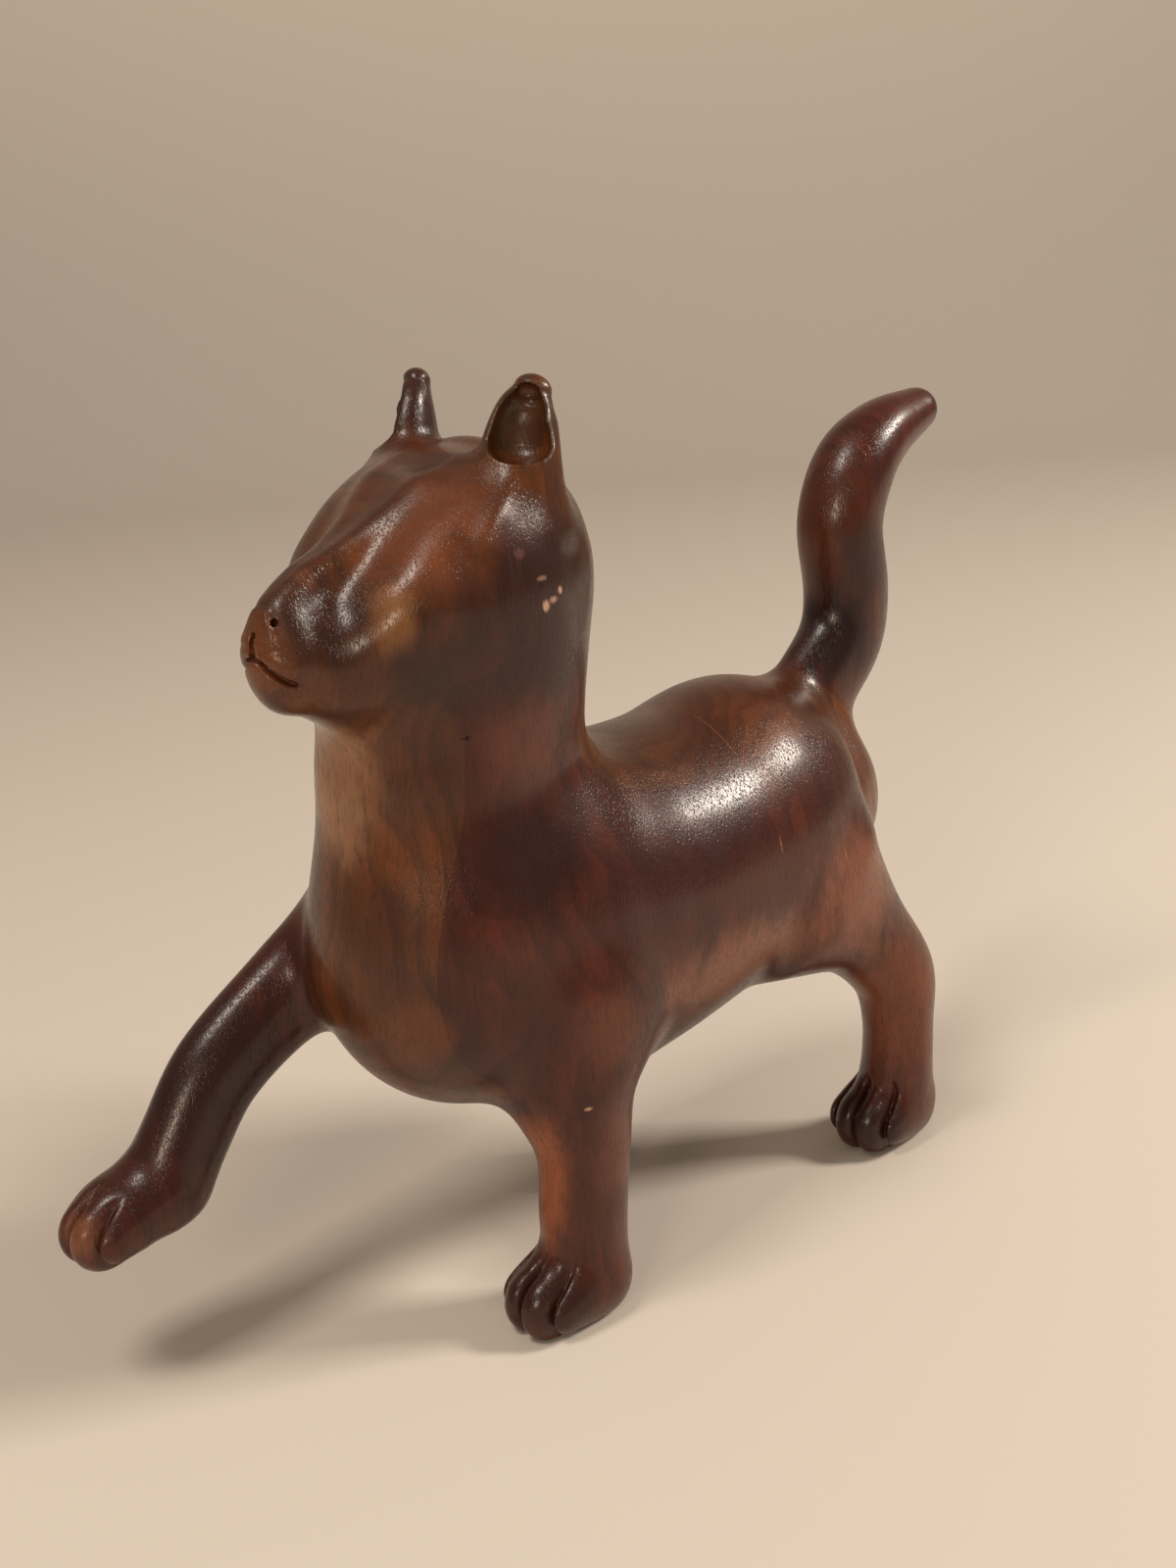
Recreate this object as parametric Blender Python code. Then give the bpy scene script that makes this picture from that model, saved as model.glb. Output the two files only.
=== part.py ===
"""Carved wooden cat, walking with its right forepaw raised.

The figure is a pieced carving. Three boards make the neck and the body, a block makes the head with
its ears, and the four legs and the tail are let in. Every joint is pinned with a beech dowel.
Lengths are in metres. The cat looks along -Y, its left is +X, and it stands on Z = 0.
"""

import math

import bmesh
import bpy
from mathutils import Matrix, Vector

# Joinery
GLUE_GAP = 0.0003
CORE_THICKNESS = 0.040
CROSS_DOWEL_DIAMETER = 0.008
CROSS_DOWEL_LENGTH = 0.046
LIMB_DOWEL_DIAMETER = 0.006
LIMB_DOWEL_LENGTH = 0.030
NECK_DOWEL_DIAMETER = 0.008
NECK_DOWEL_LENGTH = 0.036

# Body, from the root of the tail to the breast
TRUNK_LENGTH = 0.098
TRUNK_WIDTH = 0.062
TRUNK_DEPTH = 0.074
TRUNK_HEIGHT = 0.0755
TRUNK_REAR = 0.06385

# Neck, from the middle of the chest to the top of the head
NECK_RISE = 0.0765
NECK_WIDTH = 0.053
NECK_DEPTH = 0.056
HEAD_JOINT_RISE = 0.0510
HEAD_JOINT_SLOPE = 0.18

# Head, from the back of the skull to the nose
HEAD_LENGTH = 0.0435
HEAD_WIDTH = 0.0485
HEAD_DEPTH = 0.038
HEAD_FALL = 0.0125
HEAD_TURN = 0.065
HOLLOW_WIDTH = 0.013
HOLLOW_DEPTH = 0.0015
MOUTH_DEPTH = 0.0024
MOUTH_SLIT = 0.0012

# Ears
EAR_HEIGHT = 0.0245
EAR_WIDTH = 0.0180
EAR_THICKNESS = 0.0155
EAR_SPREAD = 0.0330
EAR_WALL = 0.0022

# Tail
TAIL_HEIGHT = 0.0675
TAIL_REACH = 0.047
TAIL_THICKNESS = 0.0185

# Legs: how far apart the shoulders and the hips are, and how thick the limbs are. The left foreleg
# stands its stance behind the breast, and the hind legs stand theirs behind the root of the tail.
SHOULDER_SPREAD = 0.0375
HIP_SPREAD = 0.0335
FORELEG_THICKNESS = 0.020
HIND_LEG_THICKNESS = 0.020
FORE_STANCE = 0.0090
HIND_STANCE = 0.0060
STEPPING_STANCE = -0.0490
RAISED_REACH = 0.0750
RAISED_DROP = 0.0400
PAW_LENGTH = 0.0255
PAW_WIDTH = 0.0195
PAW_HEIGHT = 0.0155
SOLE_BED = 0.0017
TOE_GROOVE_WIDTH = 0.0016
TOE_LENGTH = 0.0070

# Carving resolution
CARVING_STEP = 0.0022
NECK_FILLET = 0.007
LIMB_FILLET = 0.004
SMOOTHING_PASSES = 6
MESH_SHARE = 0.15
RING_POINTS = 16
ROUND_SEGMENTS = 16
DOME_SHARES = (0.5, 0.8, 0.96)

# Joints: how much fuller than a limb its room is, and a reach past every side of the cat
SOCKET_FULLNESS = 1.25
ROOM = 0.4

WOOD = {
    "mahogany": ((0.165, 0.048, 0.022), 0.32),
    "red_mahogany": ((0.130, 0.034, 0.018), 0.30),
    "golden_mahogany": ((0.235, 0.085, 0.030), 0.34),
    "beech": ((0.560, 0.360, 0.190), 0.60),
}


def clear_scene():
    for old in list(bpy.data.objects):
        bpy.data.objects.remove(old, do_unlink=True)


def wood(name):
    """A lacquered wood: one Principled material for each of the named timbers."""
    if name in bpy.data.materials:
        return bpy.data.materials[name]
    colour, roughness = WOOD[name]
    made = bpy.data.materials.new(name)
    made.use_nodes = True
    shader = made.node_tree.nodes["Principled BSDF"]
    shader.inputs["Base Color"].default_value = (*colour, 1.0)
    shader.inputs["Roughness"].default_value = roughness
    shader.inputs["Metallic"].default_value = 0.0
    made.diffuse_color = (*colour, 1.0)
    return made


def place(name, mesh, guide=False):
    """Link a mesh as an object. A guide is a cutter or a blank that the build leaves out."""
    made = bpy.data.objects.new(name, mesh)
    bpy.context.scene.collection.objects.link(made)
    if guide:
        made.hide_render = True
        made.display_type = "WIRE"
    return made


def mesh_of(name, build):
    """Make a mesh with bmesh and turn its faces outwards."""
    shape = bmesh.new()
    build(shape)
    bmesh.ops.recalc_face_normals(shape, faces=shape.faces)
    mesh = bpy.data.meshes.new(name)
    shape.to_mesh(mesh)
    shape.free()
    return mesh


def evaluated(made, name):
    """The mesh that an object's modifiers give, as a new mesh of its own."""
    bpy.context.view_layer.update()
    graph = bpy.context.evaluated_depsgraph_get()
    mesh = bpy.data.meshes.new_from_object(made.evaluated_get(graph))
    mesh.name = name
    return mesh


# Lofted forms

def smooth_rows(rows, steps):
    """Catmull-Rom curve through rows of numbers: steps rows for each span, ends included."""
    rows = [Vector(row) for row in rows]
    ends = [2 * rows[0] - rows[1]] + rows + [2 * rows[-1] - rows[-2]]
    out = []
    for i in range(1, len(ends) - 2):
        a, b, c, d = ends[i - 1:i + 3]
        for k in range(steps):
            t = k / steps
            out.append(0.5 * (2 * b + (c - a) * t + (2 * a - 5 * b + 4 * c - d) * t * t
                              + (3 * b - a - 3 * c + d) * t ** 3))
    return out + [rows[-1]]


def add_loft(shape, stations, steps=4, across=(1, 0, 0)):
    """Loft oval sections along a path. A station is x, y, z, half width, half depth.

    Half width is measured along the across direction where the path allows it, half depth square
    to it. The ends are closed with domes.
    """
    table = smooth_rows(stations, steps)
    path = [Vector(row[:3]) for row in table]
    rings = []
    for i, row in enumerate(table):
        along = (path[min(i + 1, len(path) - 1)] - path[max(i - 1, 0)]).normalized()
        side = (Vector(across) - along * along.dot(Vector(across))).normalized()
        rings.append((path[i], side, along.cross(side), along, row[3], row[4]))
    first = [dome_ring(rings[0], -share) for share in reversed(DOME_SHARES)]
    last = [dome_ring(rings[-1], share) for share in DOME_SHARES]
    loops = []
    for centre, side, rise, along, half_width, half_depth in first + rings + last:
        angles = [2 * math.pi * k / RING_POINTS for k in range(RING_POINTS)]
        loops.append([shape.verts.new(centre + side * half_width * math.cos(angle)
                                      + rise * half_depth * math.sin(angle)) for angle in angles])
    for low, high in zip(loops, loops[1:]):
        for k in range(RING_POINTS):
            n = (k + 1) % RING_POINTS
            shape.faces.new((low[k], low[n], high[n], high[k]))
    shape.faces.new(loops[0])
    shape.faces.new(list(reversed(loops[-1])))


def dome_ring(ring, share):
    """A ring of the dome over an end ring, at a share of the dome's height."""
    centre, side, rise, along, half_width, half_depth = ring
    narrow = math.sqrt(1 - share * share)
    dome = min(half_width, half_depth)
    return (centre + along * share * dome, side, rise, along, half_width * narrow, half_depth * narrow)


def form(anchor, reach, width, depth, rows):
    """Stations from shares: each row is the share of the reach in x, y, z, then of width and depth."""
    return [(anchor[0] + x * reach[0], anchor[1] + y * reach[1], anchor[2] + z * reach[2],
             w * width / 2, d * depth / 2) for x, y, z, w, d in rows]


def mirrored(stations):
    return [(-x, y, z, w, d) for x, y, z, w, d in stations]


def turned(stations):
    """The stations of a form on the face, moved aside as the head looks a little to the cat's left."""
    return [(x + HEAD_TURN * max(0.0, SKULL[1] - y), y, z, w, d) for x, y, z, w, d in stations]


BREAST = TRUNK_REAR - TRUNK_LENGTH
FORE_STAND = BREAST + FORE_STANCE
HIND_STAND = TRUNK_REAR + HIND_STANCE
STEPPING_STAND = TRUNK_REAR + STEPPING_STANCE
NECK_BASE = (0, TRUNK_REAR - 0.888 * TRUNK_LENGTH, TRUNK_HEIGHT - 0.038 * TRUNK_DEPTH)
SKULL = (0, NECK_BASE[1] + 0.071 * NECK_DEPTH, NECK_BASE[2] + NECK_RISE)


def trunk():
    return form((0, TRUNK_REAR, TRUNK_HEIGHT), (0, -TRUNK_LENGTH, TRUNK_DEPTH), TRUNK_WIDTH, TRUNK_DEPTH, (
        (0, 0.00, 0.030, 0.56, 0.54),
        (0, 0.07, 0.035, 0.78, 0.74),
        (0, 0.20, 0.026, 0.92, 0.89),
        (0, 0.38, -0.008, 0.96, 0.87),
        (0, 0.59, -0.034, 1.02, 0.93),
        (0, 0.79, -0.027, 1.07, 1.02),
        (0, 0.98, -0.025, 0.91, 0.82)))


def neck():
    return form(NECK_BASE, (0, NECK_DEPTH, NECK_RISE), NECK_WIDTH, NECK_DEPTH, (
        (0, -0.02, 0.00, 1.10, 1.10),
        (0, -0.10, 0.26, 1.02, 1.06),
        (0, -0.12, 0.47, 0.90, 0.98),
        (0, -0.08, 0.65, 0.93, 0.89),
        (0, -0.03, 0.85, 0.96, 0.79),
        (0, -0.05, 1.00, 0.90, 0.68)))


def head():
    return form(SKULL, (0, -HEAD_LENGTH, -HEAD_FALL), HEAD_WIDTH, HEAD_DEPTH, (
        (0, -0.02, 0.05, 0.99, 0.95),
        (0, 0.13, 0.19, 1.20, 1.24),
        (0, 0.44, 0.55, 1.09, 1.12),
        (0, 0.72, 0.89, 0.85, 0.86),
        (0, 0.92, 1.01, 0.67, 0.66),
        (0, 1.02, 0.96, 0.52, 0.52)))


def ear():
    """The left ear, from its seat in the skull to its tip."""
    seat = (EAR_SPREAD / 2, SKULL[1] - 0.08 * HEAD_LENGTH, SKULL[2] + 0.13 * HEAD_DEPTH)
    return form(seat, (EAR_SPREAD, EAR_HEIGHT, EAR_HEIGHT), EAR_WIDTH, EAR_THICKNESS, (
        (-0.02, 0.00, 0.00, 1.00, 1.00),
        (-0.01, 0.04, 0.42, 0.87, 0.86),
        (0.00, 0.12, 0.75, 0.66, 0.60),
        (0.01, 0.20, 0.93, 0.38, 0.36)))


def tail():
    root = (0, TRUNK_REAR - 0.055 * TRUNK_LENGTH, TRUNK_HEIGHT + 0.19 * TRUNK_DEPTH)
    return form(root, (0, TAIL_REACH, TAIL_HEIGHT), TAIL_THICKNESS, TAIL_THICKNESS, (
        (0, 0.00, 0.00, 0.94, 1.32),
        (0, 0.22, 0.16, 0.78, 1.20),
        (0, 0.43, 0.31, 0.90, 1.12),
        (0, 0.48, 0.47, 0.97, 1.05),
        (0, 0.45, 0.69, 1.00, 1.02),
        (0, 0.56, 0.86, 1.00, 0.96),
        (0, 0.75, 0.95, 0.82, 0.80),
        (0, 1.00, 1.00, 0.56, 0.55)))


def standing_leg(spread, hip_y, hip_z, stand, thickness, rows):
    """A leg from hip to ankle. It runs from the hip's place to where it stands on the floor."""
    return form((spread / 2, hip_y, hip_z), (thickness, stand - hip_y, -hip_z), thickness, thickness, rows)


def foreleg():
    shoulder_z = TRUNK_HEIGHT - 0.175 * TRUNK_DEPTH
    return standing_leg(SHOULDER_SPREAD, BREAST + 0.145 * TRUNK_LENGTH, shoulder_z, FORE_STAND,
                        FORELEG_THICKNESS, (
        (0.00, 0.0, 0.00, 1.50, 1.78),
        (0.05, 0.6, 0.23, 1.30, 1.38),
        (0.16, 0.6, 0.44, 0.91, 0.97),
        (0.16, 0.8, 0.65, 0.80, 0.92),
        (0.14, 0.8, 0.80, 0.78, 0.90),
        (0.13, 0.8, 0.87, 0.82, 0.90)))


def hind_leg(hip_y, stand, rows):
    hip_z = TRUNK_HEIGHT - 0.158 * TRUNK_DEPTH
    return standing_leg(HIP_SPREAD, hip_y, hip_z, stand, HIND_LEG_THICKNESS, rows)


def left_hind():
    return hind_leg(TRUNK_REAR - 0.15 * TRUNK_LENGTH, HIND_STAND, (
        (0.00, 0.00, 0.00, 1.37, 2.05),
        (0.12, 0.53, 0.17, 1.07, 1.18),
        (0.24, 0.93, 0.36, 0.96, 0.92),
        (0.26, 1.00, 0.55, 0.80, 0.78),
        (0.23, 1.00, 0.75, 0.79, 0.84),
        (0.19, 1.04, 0.84, 0.76, 0.96)))


def right_hind():
    return mirrored(hind_leg(TRUNK_REAR - 0.22 * TRUNK_LENGTH, STEPPING_STAND, (
        (0.00, 0.00, 0.00, 1.35, 1.85),
        (0.12, 0.38, 0.19, 1.06, 1.30),
        (0.18, 0.68, 0.37, 0.90, 0.98),
        (0.20, 0.90, 0.56, 0.76, 0.76),
        (0.19, 0.98, 0.75, 0.74, 0.76),
        (0.18, 0.96, 0.84, 0.72, 0.84))))


def raised_leg():
    return form(SHOULDER, (-FORELEG_THICKNESS, -RAISED_REACH, -RAISED_DROP),
                FORELEG_THICKNESS, FORELEG_THICKNESS, (
        (0.00, 0.00, 0.03, 1.36, 1.75),
        (0.12, 0.23, 0.11, 0.94, 1.32),
        (0.20, 0.44, 0.29, 0.76, 1.04),
        (0.21, 0.64, 0.52, 0.74, 0.95),
        (0.21, 0.755, 0.785, 0.76, 0.90),
        (0.24, 0.82, 0.98, 0.86, 0.90)))


def paw(ankle, splay=0.0, pitch=0.0, size=1.0):
    """A paw under an ankle point: a low loft from heel to toes, turned by splay and pitch."""
    length, width, height = PAW_LENGTH * size, PAW_WIDTH * size, PAW_HEIGHT * size
    turn = Matrix.Rotation(splay, 3, "Z") @ Matrix.Rotation(pitch, 3, "X")
    out = []
    for back, up, wide, high in ((0.16, 0.02, 0.90, 1.00), (-0.08, 0.03, 0.98, 1.06),
                                 (-0.26, -0.03, 0.96, 0.96)):
        spot = turn @ Vector((0, back * length, up * height))
        out.append((ankle[0] + spot.x, ankle[1] + spot.y, ankle[2] + spot.z,
                    wide * width / 2, high * height / 2))
    return out


def sole_height(size=1.0):
    """The middle of a standing paw: its underside is bedded a little below the floor and cut flat."""
    return size * PAW_HEIGHT / 2 - SOLE_BED


SHOULDER = (-SHOULDER_SPREAD / 2, BREAST + 0.085 * TRUNK_LENGTH, TRUNK_HEIGHT + 0.008 * TRUNK_DEPTH)
STEPPING_PAW_SIZE = 0.84
RAISED_PAW_SIZE = 0.95
PAWS = {
    "left_foreleg": dict(ankle=(SHOULDER_SPREAD / 2 + 0.10 * FORELEG_THICKNESS,
                                FORE_STAND - 0.12 * PAW_LENGTH, sole_height())),
    "left_hind_leg": dict(ankle=(HIP_SPREAD / 2 + 0.13 * HIND_LEG_THICKNESS,
                                 HIND_STAND - 0.08 * PAW_LENGTH, sole_height()), splay=0.12, pitch=-0.15),
    "right_hind_leg": dict(ankle=(-HIP_SPREAD / 2 - 0.16 * HIND_LEG_THICKNESS,
                                  STEPPING_STAND - 0.12 * PAW_LENGTH, sole_height(STEPPING_PAW_SIZE)),
                           size=STEPPING_PAW_SIZE),
    "right_foreleg": dict(ankle=(SHOULDER[0] - 0.26 * FORELEG_THICKNESS, SHOULDER[1] - 0.935 * RAISED_REACH,
                                 SHOULDER[2] - 1.05 * RAISED_DROP), pitch=0.2, size=RAISED_PAW_SIZE),
}


def brow(side):
    """The ridge that runs from an ear's outer edge down beside the face to the muzzle."""
    top = SKULL[2] + 0.30 * HEAD_DEPTH
    return form((0, SKULL[1], top), (side * HEAD_WIDTH / 2, -HEAD_LENGTH, -HEAD_DEPTH), 0.2 * HEAD_WIDTH,
                0.2 * HEAD_DEPTH, (
        (0.74, 0.09, 0.06, 0.8, 0.8),
        (0.78, 0.41, 0.14, 0.8, 0.8),
        (0.57, 0.72, 0.34, 0.8, 0.8),
        (0.38, 1.00, 0.55, 0.7, 0.7)))


def fuse(target, fillet):
    """Fuse what overlaps into one skin, with a fillet of the given radius where forms meet.

    The skin is pushed out by the radius, fused again and drawn back in, which leaves a fillet in
    every hollow that a ball of this radius can't reach.
    """
    for name, push in (("fuse", 0.0), ("swell", fillet), ("fuse_swollen", 0.0), ("draw_in", -fillet)):
        if push:
            step = target.modifiers.new(name, "DISPLACE")
            step.mid_level = 0.0
            step.strength = push
        else:
            step = target.modifiers.new(name, "REMESH")
            step.mode = "VOXEL"
            step.voxel_size = CARVING_STEP


def blank():
    """The whole figure rough-carved as one skin. The body and the head are fused first."""
    def build_body(shape):
        add_loft(shape, trunk())
        add_loft(shape, neck())
        add_loft(shape, turned(head()))
        for side in (1, -1):
            add_loft(shape, turned(brow(side)))

    body = place("body_blank", mesh_of("body_blank", build_body), guide=True)
    fuse(body, NECK_FILLET)
    body_skin = evaluated(body, "body_skin")

    def build(shape):
        shape.from_mesh(body_skin)
        add_loft(shape, tail())
        add_loft(shape, foreleg())
        add_loft(shape, left_hind())
        add_loft(shape, right_hind())
        add_loft(shape, raised_leg())
        for paw_values in PAWS.values():
            add_loft(shape, paw(**paw_values))

    rough = place("blank", mesh_of("blank", build), guide=True)
    fuse(rough, LIMB_FILLET)
    rub = rough.modifiers.new("rub", "SMOOTH")
    rub.factor = 0.5
    rub.iterations = SMOOTHING_PASSES
    thin = rough.modifiers.new("thin", "DECIMATE")
    thin.ratio = MESH_SHARE
    return rough


# Cutters

def pair(name, stations):
    """A form on the left and its mirror image on the right, as one guide."""
    def build(shape):
        add_loft(shape, turned(stations), steps=2)
        add_loft(shape, turned(mirrored(stations)), steps=2)

    return place(name, mesh_of(name, build), guide=True)


def ears():
    return pair("ears", ear())


def ear_scoops():
    """What hollows the ears from the front, and leaves a wall behind and beside the hollow."""
    seat = ear()[0]
    return pair("ear_scoops", form(
        seat[:3], (EAR_SPREAD, EAR_HEIGHT, EAR_HEIGHT), EAR_WIDTH - 2 * EAR_WALL, EAR_THICKNESS, (
            (0.040, -0.14, 0.50, 0.46, 0.40),
            (0.045, -0.12, 0.60, 0.66, 0.52),
            (0.035, -0.02, 0.76, 0.48, 0.40),
            (0.025, 0.10, 0.90, 0.22, 0.20))))


def face_hollows():
    """Shallow hollows on both sides of the bridge of the nose."""
    top = SKULL[2] + 0.40 * HEAD_DEPTH
    return pair("face_hollows", form(
        (0, SKULL[1], top), (HEAD_WIDTH / 2, -HEAD_LENGTH, -HEAD_DEPTH), HOLLOW_WIDTH, 2 * HOLLOW_DEPTH, (
            (0.45, 0.41, 0.02, 0.6, 0.8),
            (0.44, 0.66, 0.21, 0.8, 1.1),
            (0.38, 0.82, 0.37, 0.7, 1.0),
            (0.31, 0.96, 0.49, 0.5, 0.7))))


def mouth():
    """The slit of the mouth, from one corner round the front of the muzzle to the other."""
    half = ((0.33, 1.10, -0.425), (0.25, 1.17, -0.365), (0.12, 1.21, -0.300))
    rows = half + ((0.0, 1.22, -0.285),) + tuple((-x, y, z) for x, y, z in reversed(half))
    stations = form(SKULL, (HEAD_WIDTH / 2, -HEAD_LENGTH, HEAD_DEPTH), MOUTH_SLIT, 2 * MOUTH_DEPTH,
                    [(*row, 1.0, 1.0) for row in rows])
    slit = mesh_of("mouth", lambda shape: add_loft(shape, turned(stations), steps=2, across=(0, 0, 1)))
    return place("mouth", slit, guide=True)


def toe_grooves():
    """Two sharp-edged wheels cut the front of each paw into three toes."""
    def build(shape):
        for values in PAWS.values():
            size = values.get("size", 1.0)
            turn = (Matrix.Translation(Vector(values["ankle"]))
                    @ Matrix.Rotation(values.get("splay", 0.0), 4, "Z")
                    @ Matrix.Rotation(values.get("pitch", 0.0), 4, "X"))
            radius = 0.80 * PAW_HEIGHT * size
            thick = TOE_GROOVE_WIDTH * radius / TOE_LENGTH
            for side in (-1, 1):
                front = -0.55 * PAW_LENGTH * size
                centre = Vector((side * PAW_WIDTH * size / 6, front + TOE_LENGTH - radius,
                                 0.12 * PAW_HEIGHT))
                frame = turn @ Matrix.Translation(centre) @ Matrix.Rotation(math.pi / 2, 4, "Y")
                rim = [frame @ Vector((radius * math.cos(a), radius * math.sin(a), 0))
                       for a in (2 * math.pi * k / ROUND_SEGMENTS for k in range(ROUND_SEGMENTS))]
                rim = [shape.verts.new(point) for point in rim]
                for hub in (shape.verts.new(frame @ Vector((0, 0, thick))),
                            shape.verts.new(frame @ Vector((0, 0, -thick)))):
                    for k in range(ROUND_SEGMENTS):
                        shape.faces.new((rim[k], rim[(k + 1) % ROUND_SEGMENTS], hub))

    return place("toe_grooves", mesh_of("toe_grooves", build), guide=True)


def cut(target, cutter, operation="DIFFERENCE"):
    step = target.modifiers.new(cutter.name, "BOOLEAN")
    step.operation = operation
    step.solver = "EXACT"
    step.object = cutter
    return step


# Joint blocks: the room that each piece takes out of the figure

def slab(name, corners_low, corners_high):
    """A closed block between two four-sided faces whose corners match."""
    def build(shape):
        low = [shape.verts.new(corner) for corner in corners_low]
        high = [shape.verts.new(corner) for corner in corners_high]
        shape.faces.new(low)
        shape.faces.new(high)
        for k in range(4):
            n = (k + 1) % 4
            shape.faces.new((low[k], low[n], high[n], high[k]))

    return place(name, mesh_of(name, build), guide=True)


def socket(name, rings, grow):
    """The room of a limb: the hull of the rings round it. A ring is a centre, a normal, two half axes.

    The first ring is the joint face. To be cut from the torso the hull is grown by the glue gap.
    """
    def build(shape):
        face = rings[0]
        for centre, normal, half_width, half_depth in [(face[0] - face[1] * grow, *face[1:])] + rings:
            side = (Vector((1, 0, 0)) - normal * normal.x).normalized()
            rise = normal.cross(side)
            for k in range(RING_POINTS):
                angle = 2 * math.pi * k / RING_POINTS
                shape.verts.new(centre + side * (half_width + grow) * math.cos(angle)
                                + rise * (half_depth + grow) * math.sin(angle))
        hull = bmesh.ops.convex_hull(shape, input=shape.verts)
        inner = {item for key in ("geom_interior", "geom_unused") for item in hull[key]}
        bmesh.ops.delete(shape, geom=[item for item in inner if isinstance(item, bmesh.types.BMVert)],
                         context="VERTS")

    return place(name, mesh_of(name, build), guide=True)


def along(stations, share):
    """A point on a limb's path, at a share of its stations."""
    table = smooth_rows(stations, 10)
    return Vector(table[round(share * (len(table) - 1))][:3])


def limb_rings(stations, share):
    """Rings round a limb from a share of its path to its end, a little fuller than the limb."""
    table = smooth_rows(stations, 4)
    rings = []
    for low, high in list(zip(table, table[1:]))[round(share * (len(table) - 1)) + 1:]:
        rings.append((Vector(high[:3]), Vector((high - low)[:3]).normalized(), SOCKET_FULLNESS * high[3],
                      SOCKET_FULLNESS * high[4]))
    return rings


def joint_face(stations, share, normal, shift, half_width, half_depth, thickness):
    """The first ring of a limb's room, with its shift and size in shares of the limb's thickness."""
    centre = along(stations, share) + Vector(shift) * thickness
    return (centre, Vector(normal).normalized(), half_width * thickness, half_depth * thickness)


def standing_rooms(name, stations, share, normal, side, thickness):
    """The block that cuts a standing leg, flat at the floor, and the room that it leaves."""
    values = PAWS[name]
    size = values.get("size", 1.0)
    x, y = values["ankle"][0], values["ankle"][1] - 0.07 * PAW_LENGTH
    rings = [joint_face(stations, share, normal, (0.10 * side, 0, 0), 0.64, 0.88, thickness)]
    rings += [ring for ring in limb_rings(stations, share) if ring[0].z > PAW_HEIGHT]

    def print_at(z):
        return (Vector((x, y, z)), Vector((0, 0, -1)), 0.65 * PAW_WIDTH * size, 0.68 * PAW_LENGTH * size)

    rings.append(print_at(PAW_HEIGHT))
    return rings + [print_at(0.0)], rings + [print_at(-PAW_HEIGHT)]


def raised_rooms():
    stations, thick = raised_leg(), FORELEG_THICKNESS
    rings = [joint_face(stations, 0.19, (-0.68, -0.70, -0.15), (-0.14, 0.14, 0), 0.75, 0.82, thick)]
    rings += limb_rings(stations, 0.19)
    ankle = Vector(PAWS["right_foreleg"]["ankle"])
    for ahead in (-0.45, 0.75):
        rings.append((ankle + Vector((0, -ahead * PAW_LENGTH, -0.1 * ahead * PAW_LENGTH)),
                      Vector((0, -1, 0)), 0.65 * PAW_WIDTH, 0.75 * PAW_HEIGHT))
    return rings, rings


def tail_rooms():
    stations, thick = tail(), TAIL_THICKNESS
    rings = [joint_face(stations, 0.14, (0, 0.69, 0.72), (0, 0, 0), 0.75, 0.85, thick)]
    rings += limb_rings(stations, 0.14)
    rings.append((Vector(stations[-1][:3]) + Vector((0, 0.5, 0.1)) * thick, Vector((0, 1, 0)),
                  0.4 * thick, 0.4 * thick))
    return rings, rings


def limb_joints():
    """For each limb: its stations, the shares of its seat and of its dowel's tip, its block and room."""
    fore, hind = FORELEG_THICKNESS, HIND_LEG_THICKNESS
    left_fore, left, right = foreleg(), left_hind(), right_hind()
    return {
        "left_foreleg": (left_fore, 0.21, 0.45, standing_rooms(
            "left_foreleg", left_fore, 0.21, (0.35, 0.0, -0.94), 1, fore)),
        "left_hind_leg": (left, 0.17, 0.38, standing_rooms(
            "left_hind_leg", left, 0.17, (0.25, 0.35, -0.90), 1, hind)),
        "right_hind_leg": (right, 0.22, 0.42, standing_rooms(
            "right_hind_leg", right, 0.22, (-0.30, -0.25, -0.92), -1, hind)),
        "right_foreleg": (raised_leg(), 0.19, 0.42, raised_rooms()),
        "tail": (tail(), 0.14, 0.36, tail_rooms()),
    }


def limb_dowel_ends(stations, seat_share, tip_share):
    """A limb's dowel starts on the limb's axis and leans in, so that it ends inside the core board."""
    seat, tip = along(stations, seat_share), along(stations, tip_share)
    aim = 2 * seat - tip
    if abs(seat.x) > CORE_THICKNESS / 4:
        aim.x = math.copysign(CORE_THICKNESS / 4, seat.x)
    return tip, tip + (aim - tip).normalized() * LIMB_DOWEL_LENGTH


def head_block(name, grow):
    """The room above the joint face under the jaw, as far back as the neck goes."""
    z = NECK_BASE[2] + HEAD_JOINT_RISE
    corners = [(sx * ROOM, NECK_BASE[1] + y) for sx, y in
               ((-1, -ROOM), (1, -ROOM), (1, NECK_DEPTH + grow), (-1, NECK_DEPTH + grow))]
    low = [(x, y, z + HEAD_JOINT_SLOPE * (y - NECK_BASE[1]) - grow) for x, y in corners]
    return slab(name, low, [(x, y, z + ROOM) for x, y in corners])


def board_block(name, x_low, x_high):
    """An upright slice of room between two planes across the cat."""
    low = [(x, y, 0.0) for x, y in ((x_low, -ROOM), (x_high, -ROOM), (x_high, ROOM), (x_low, ROOM))]
    high = [(x, y, 2 * ROOM) for x, y, z in low]
    return slab(name, low, high)


# Dowels

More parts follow.
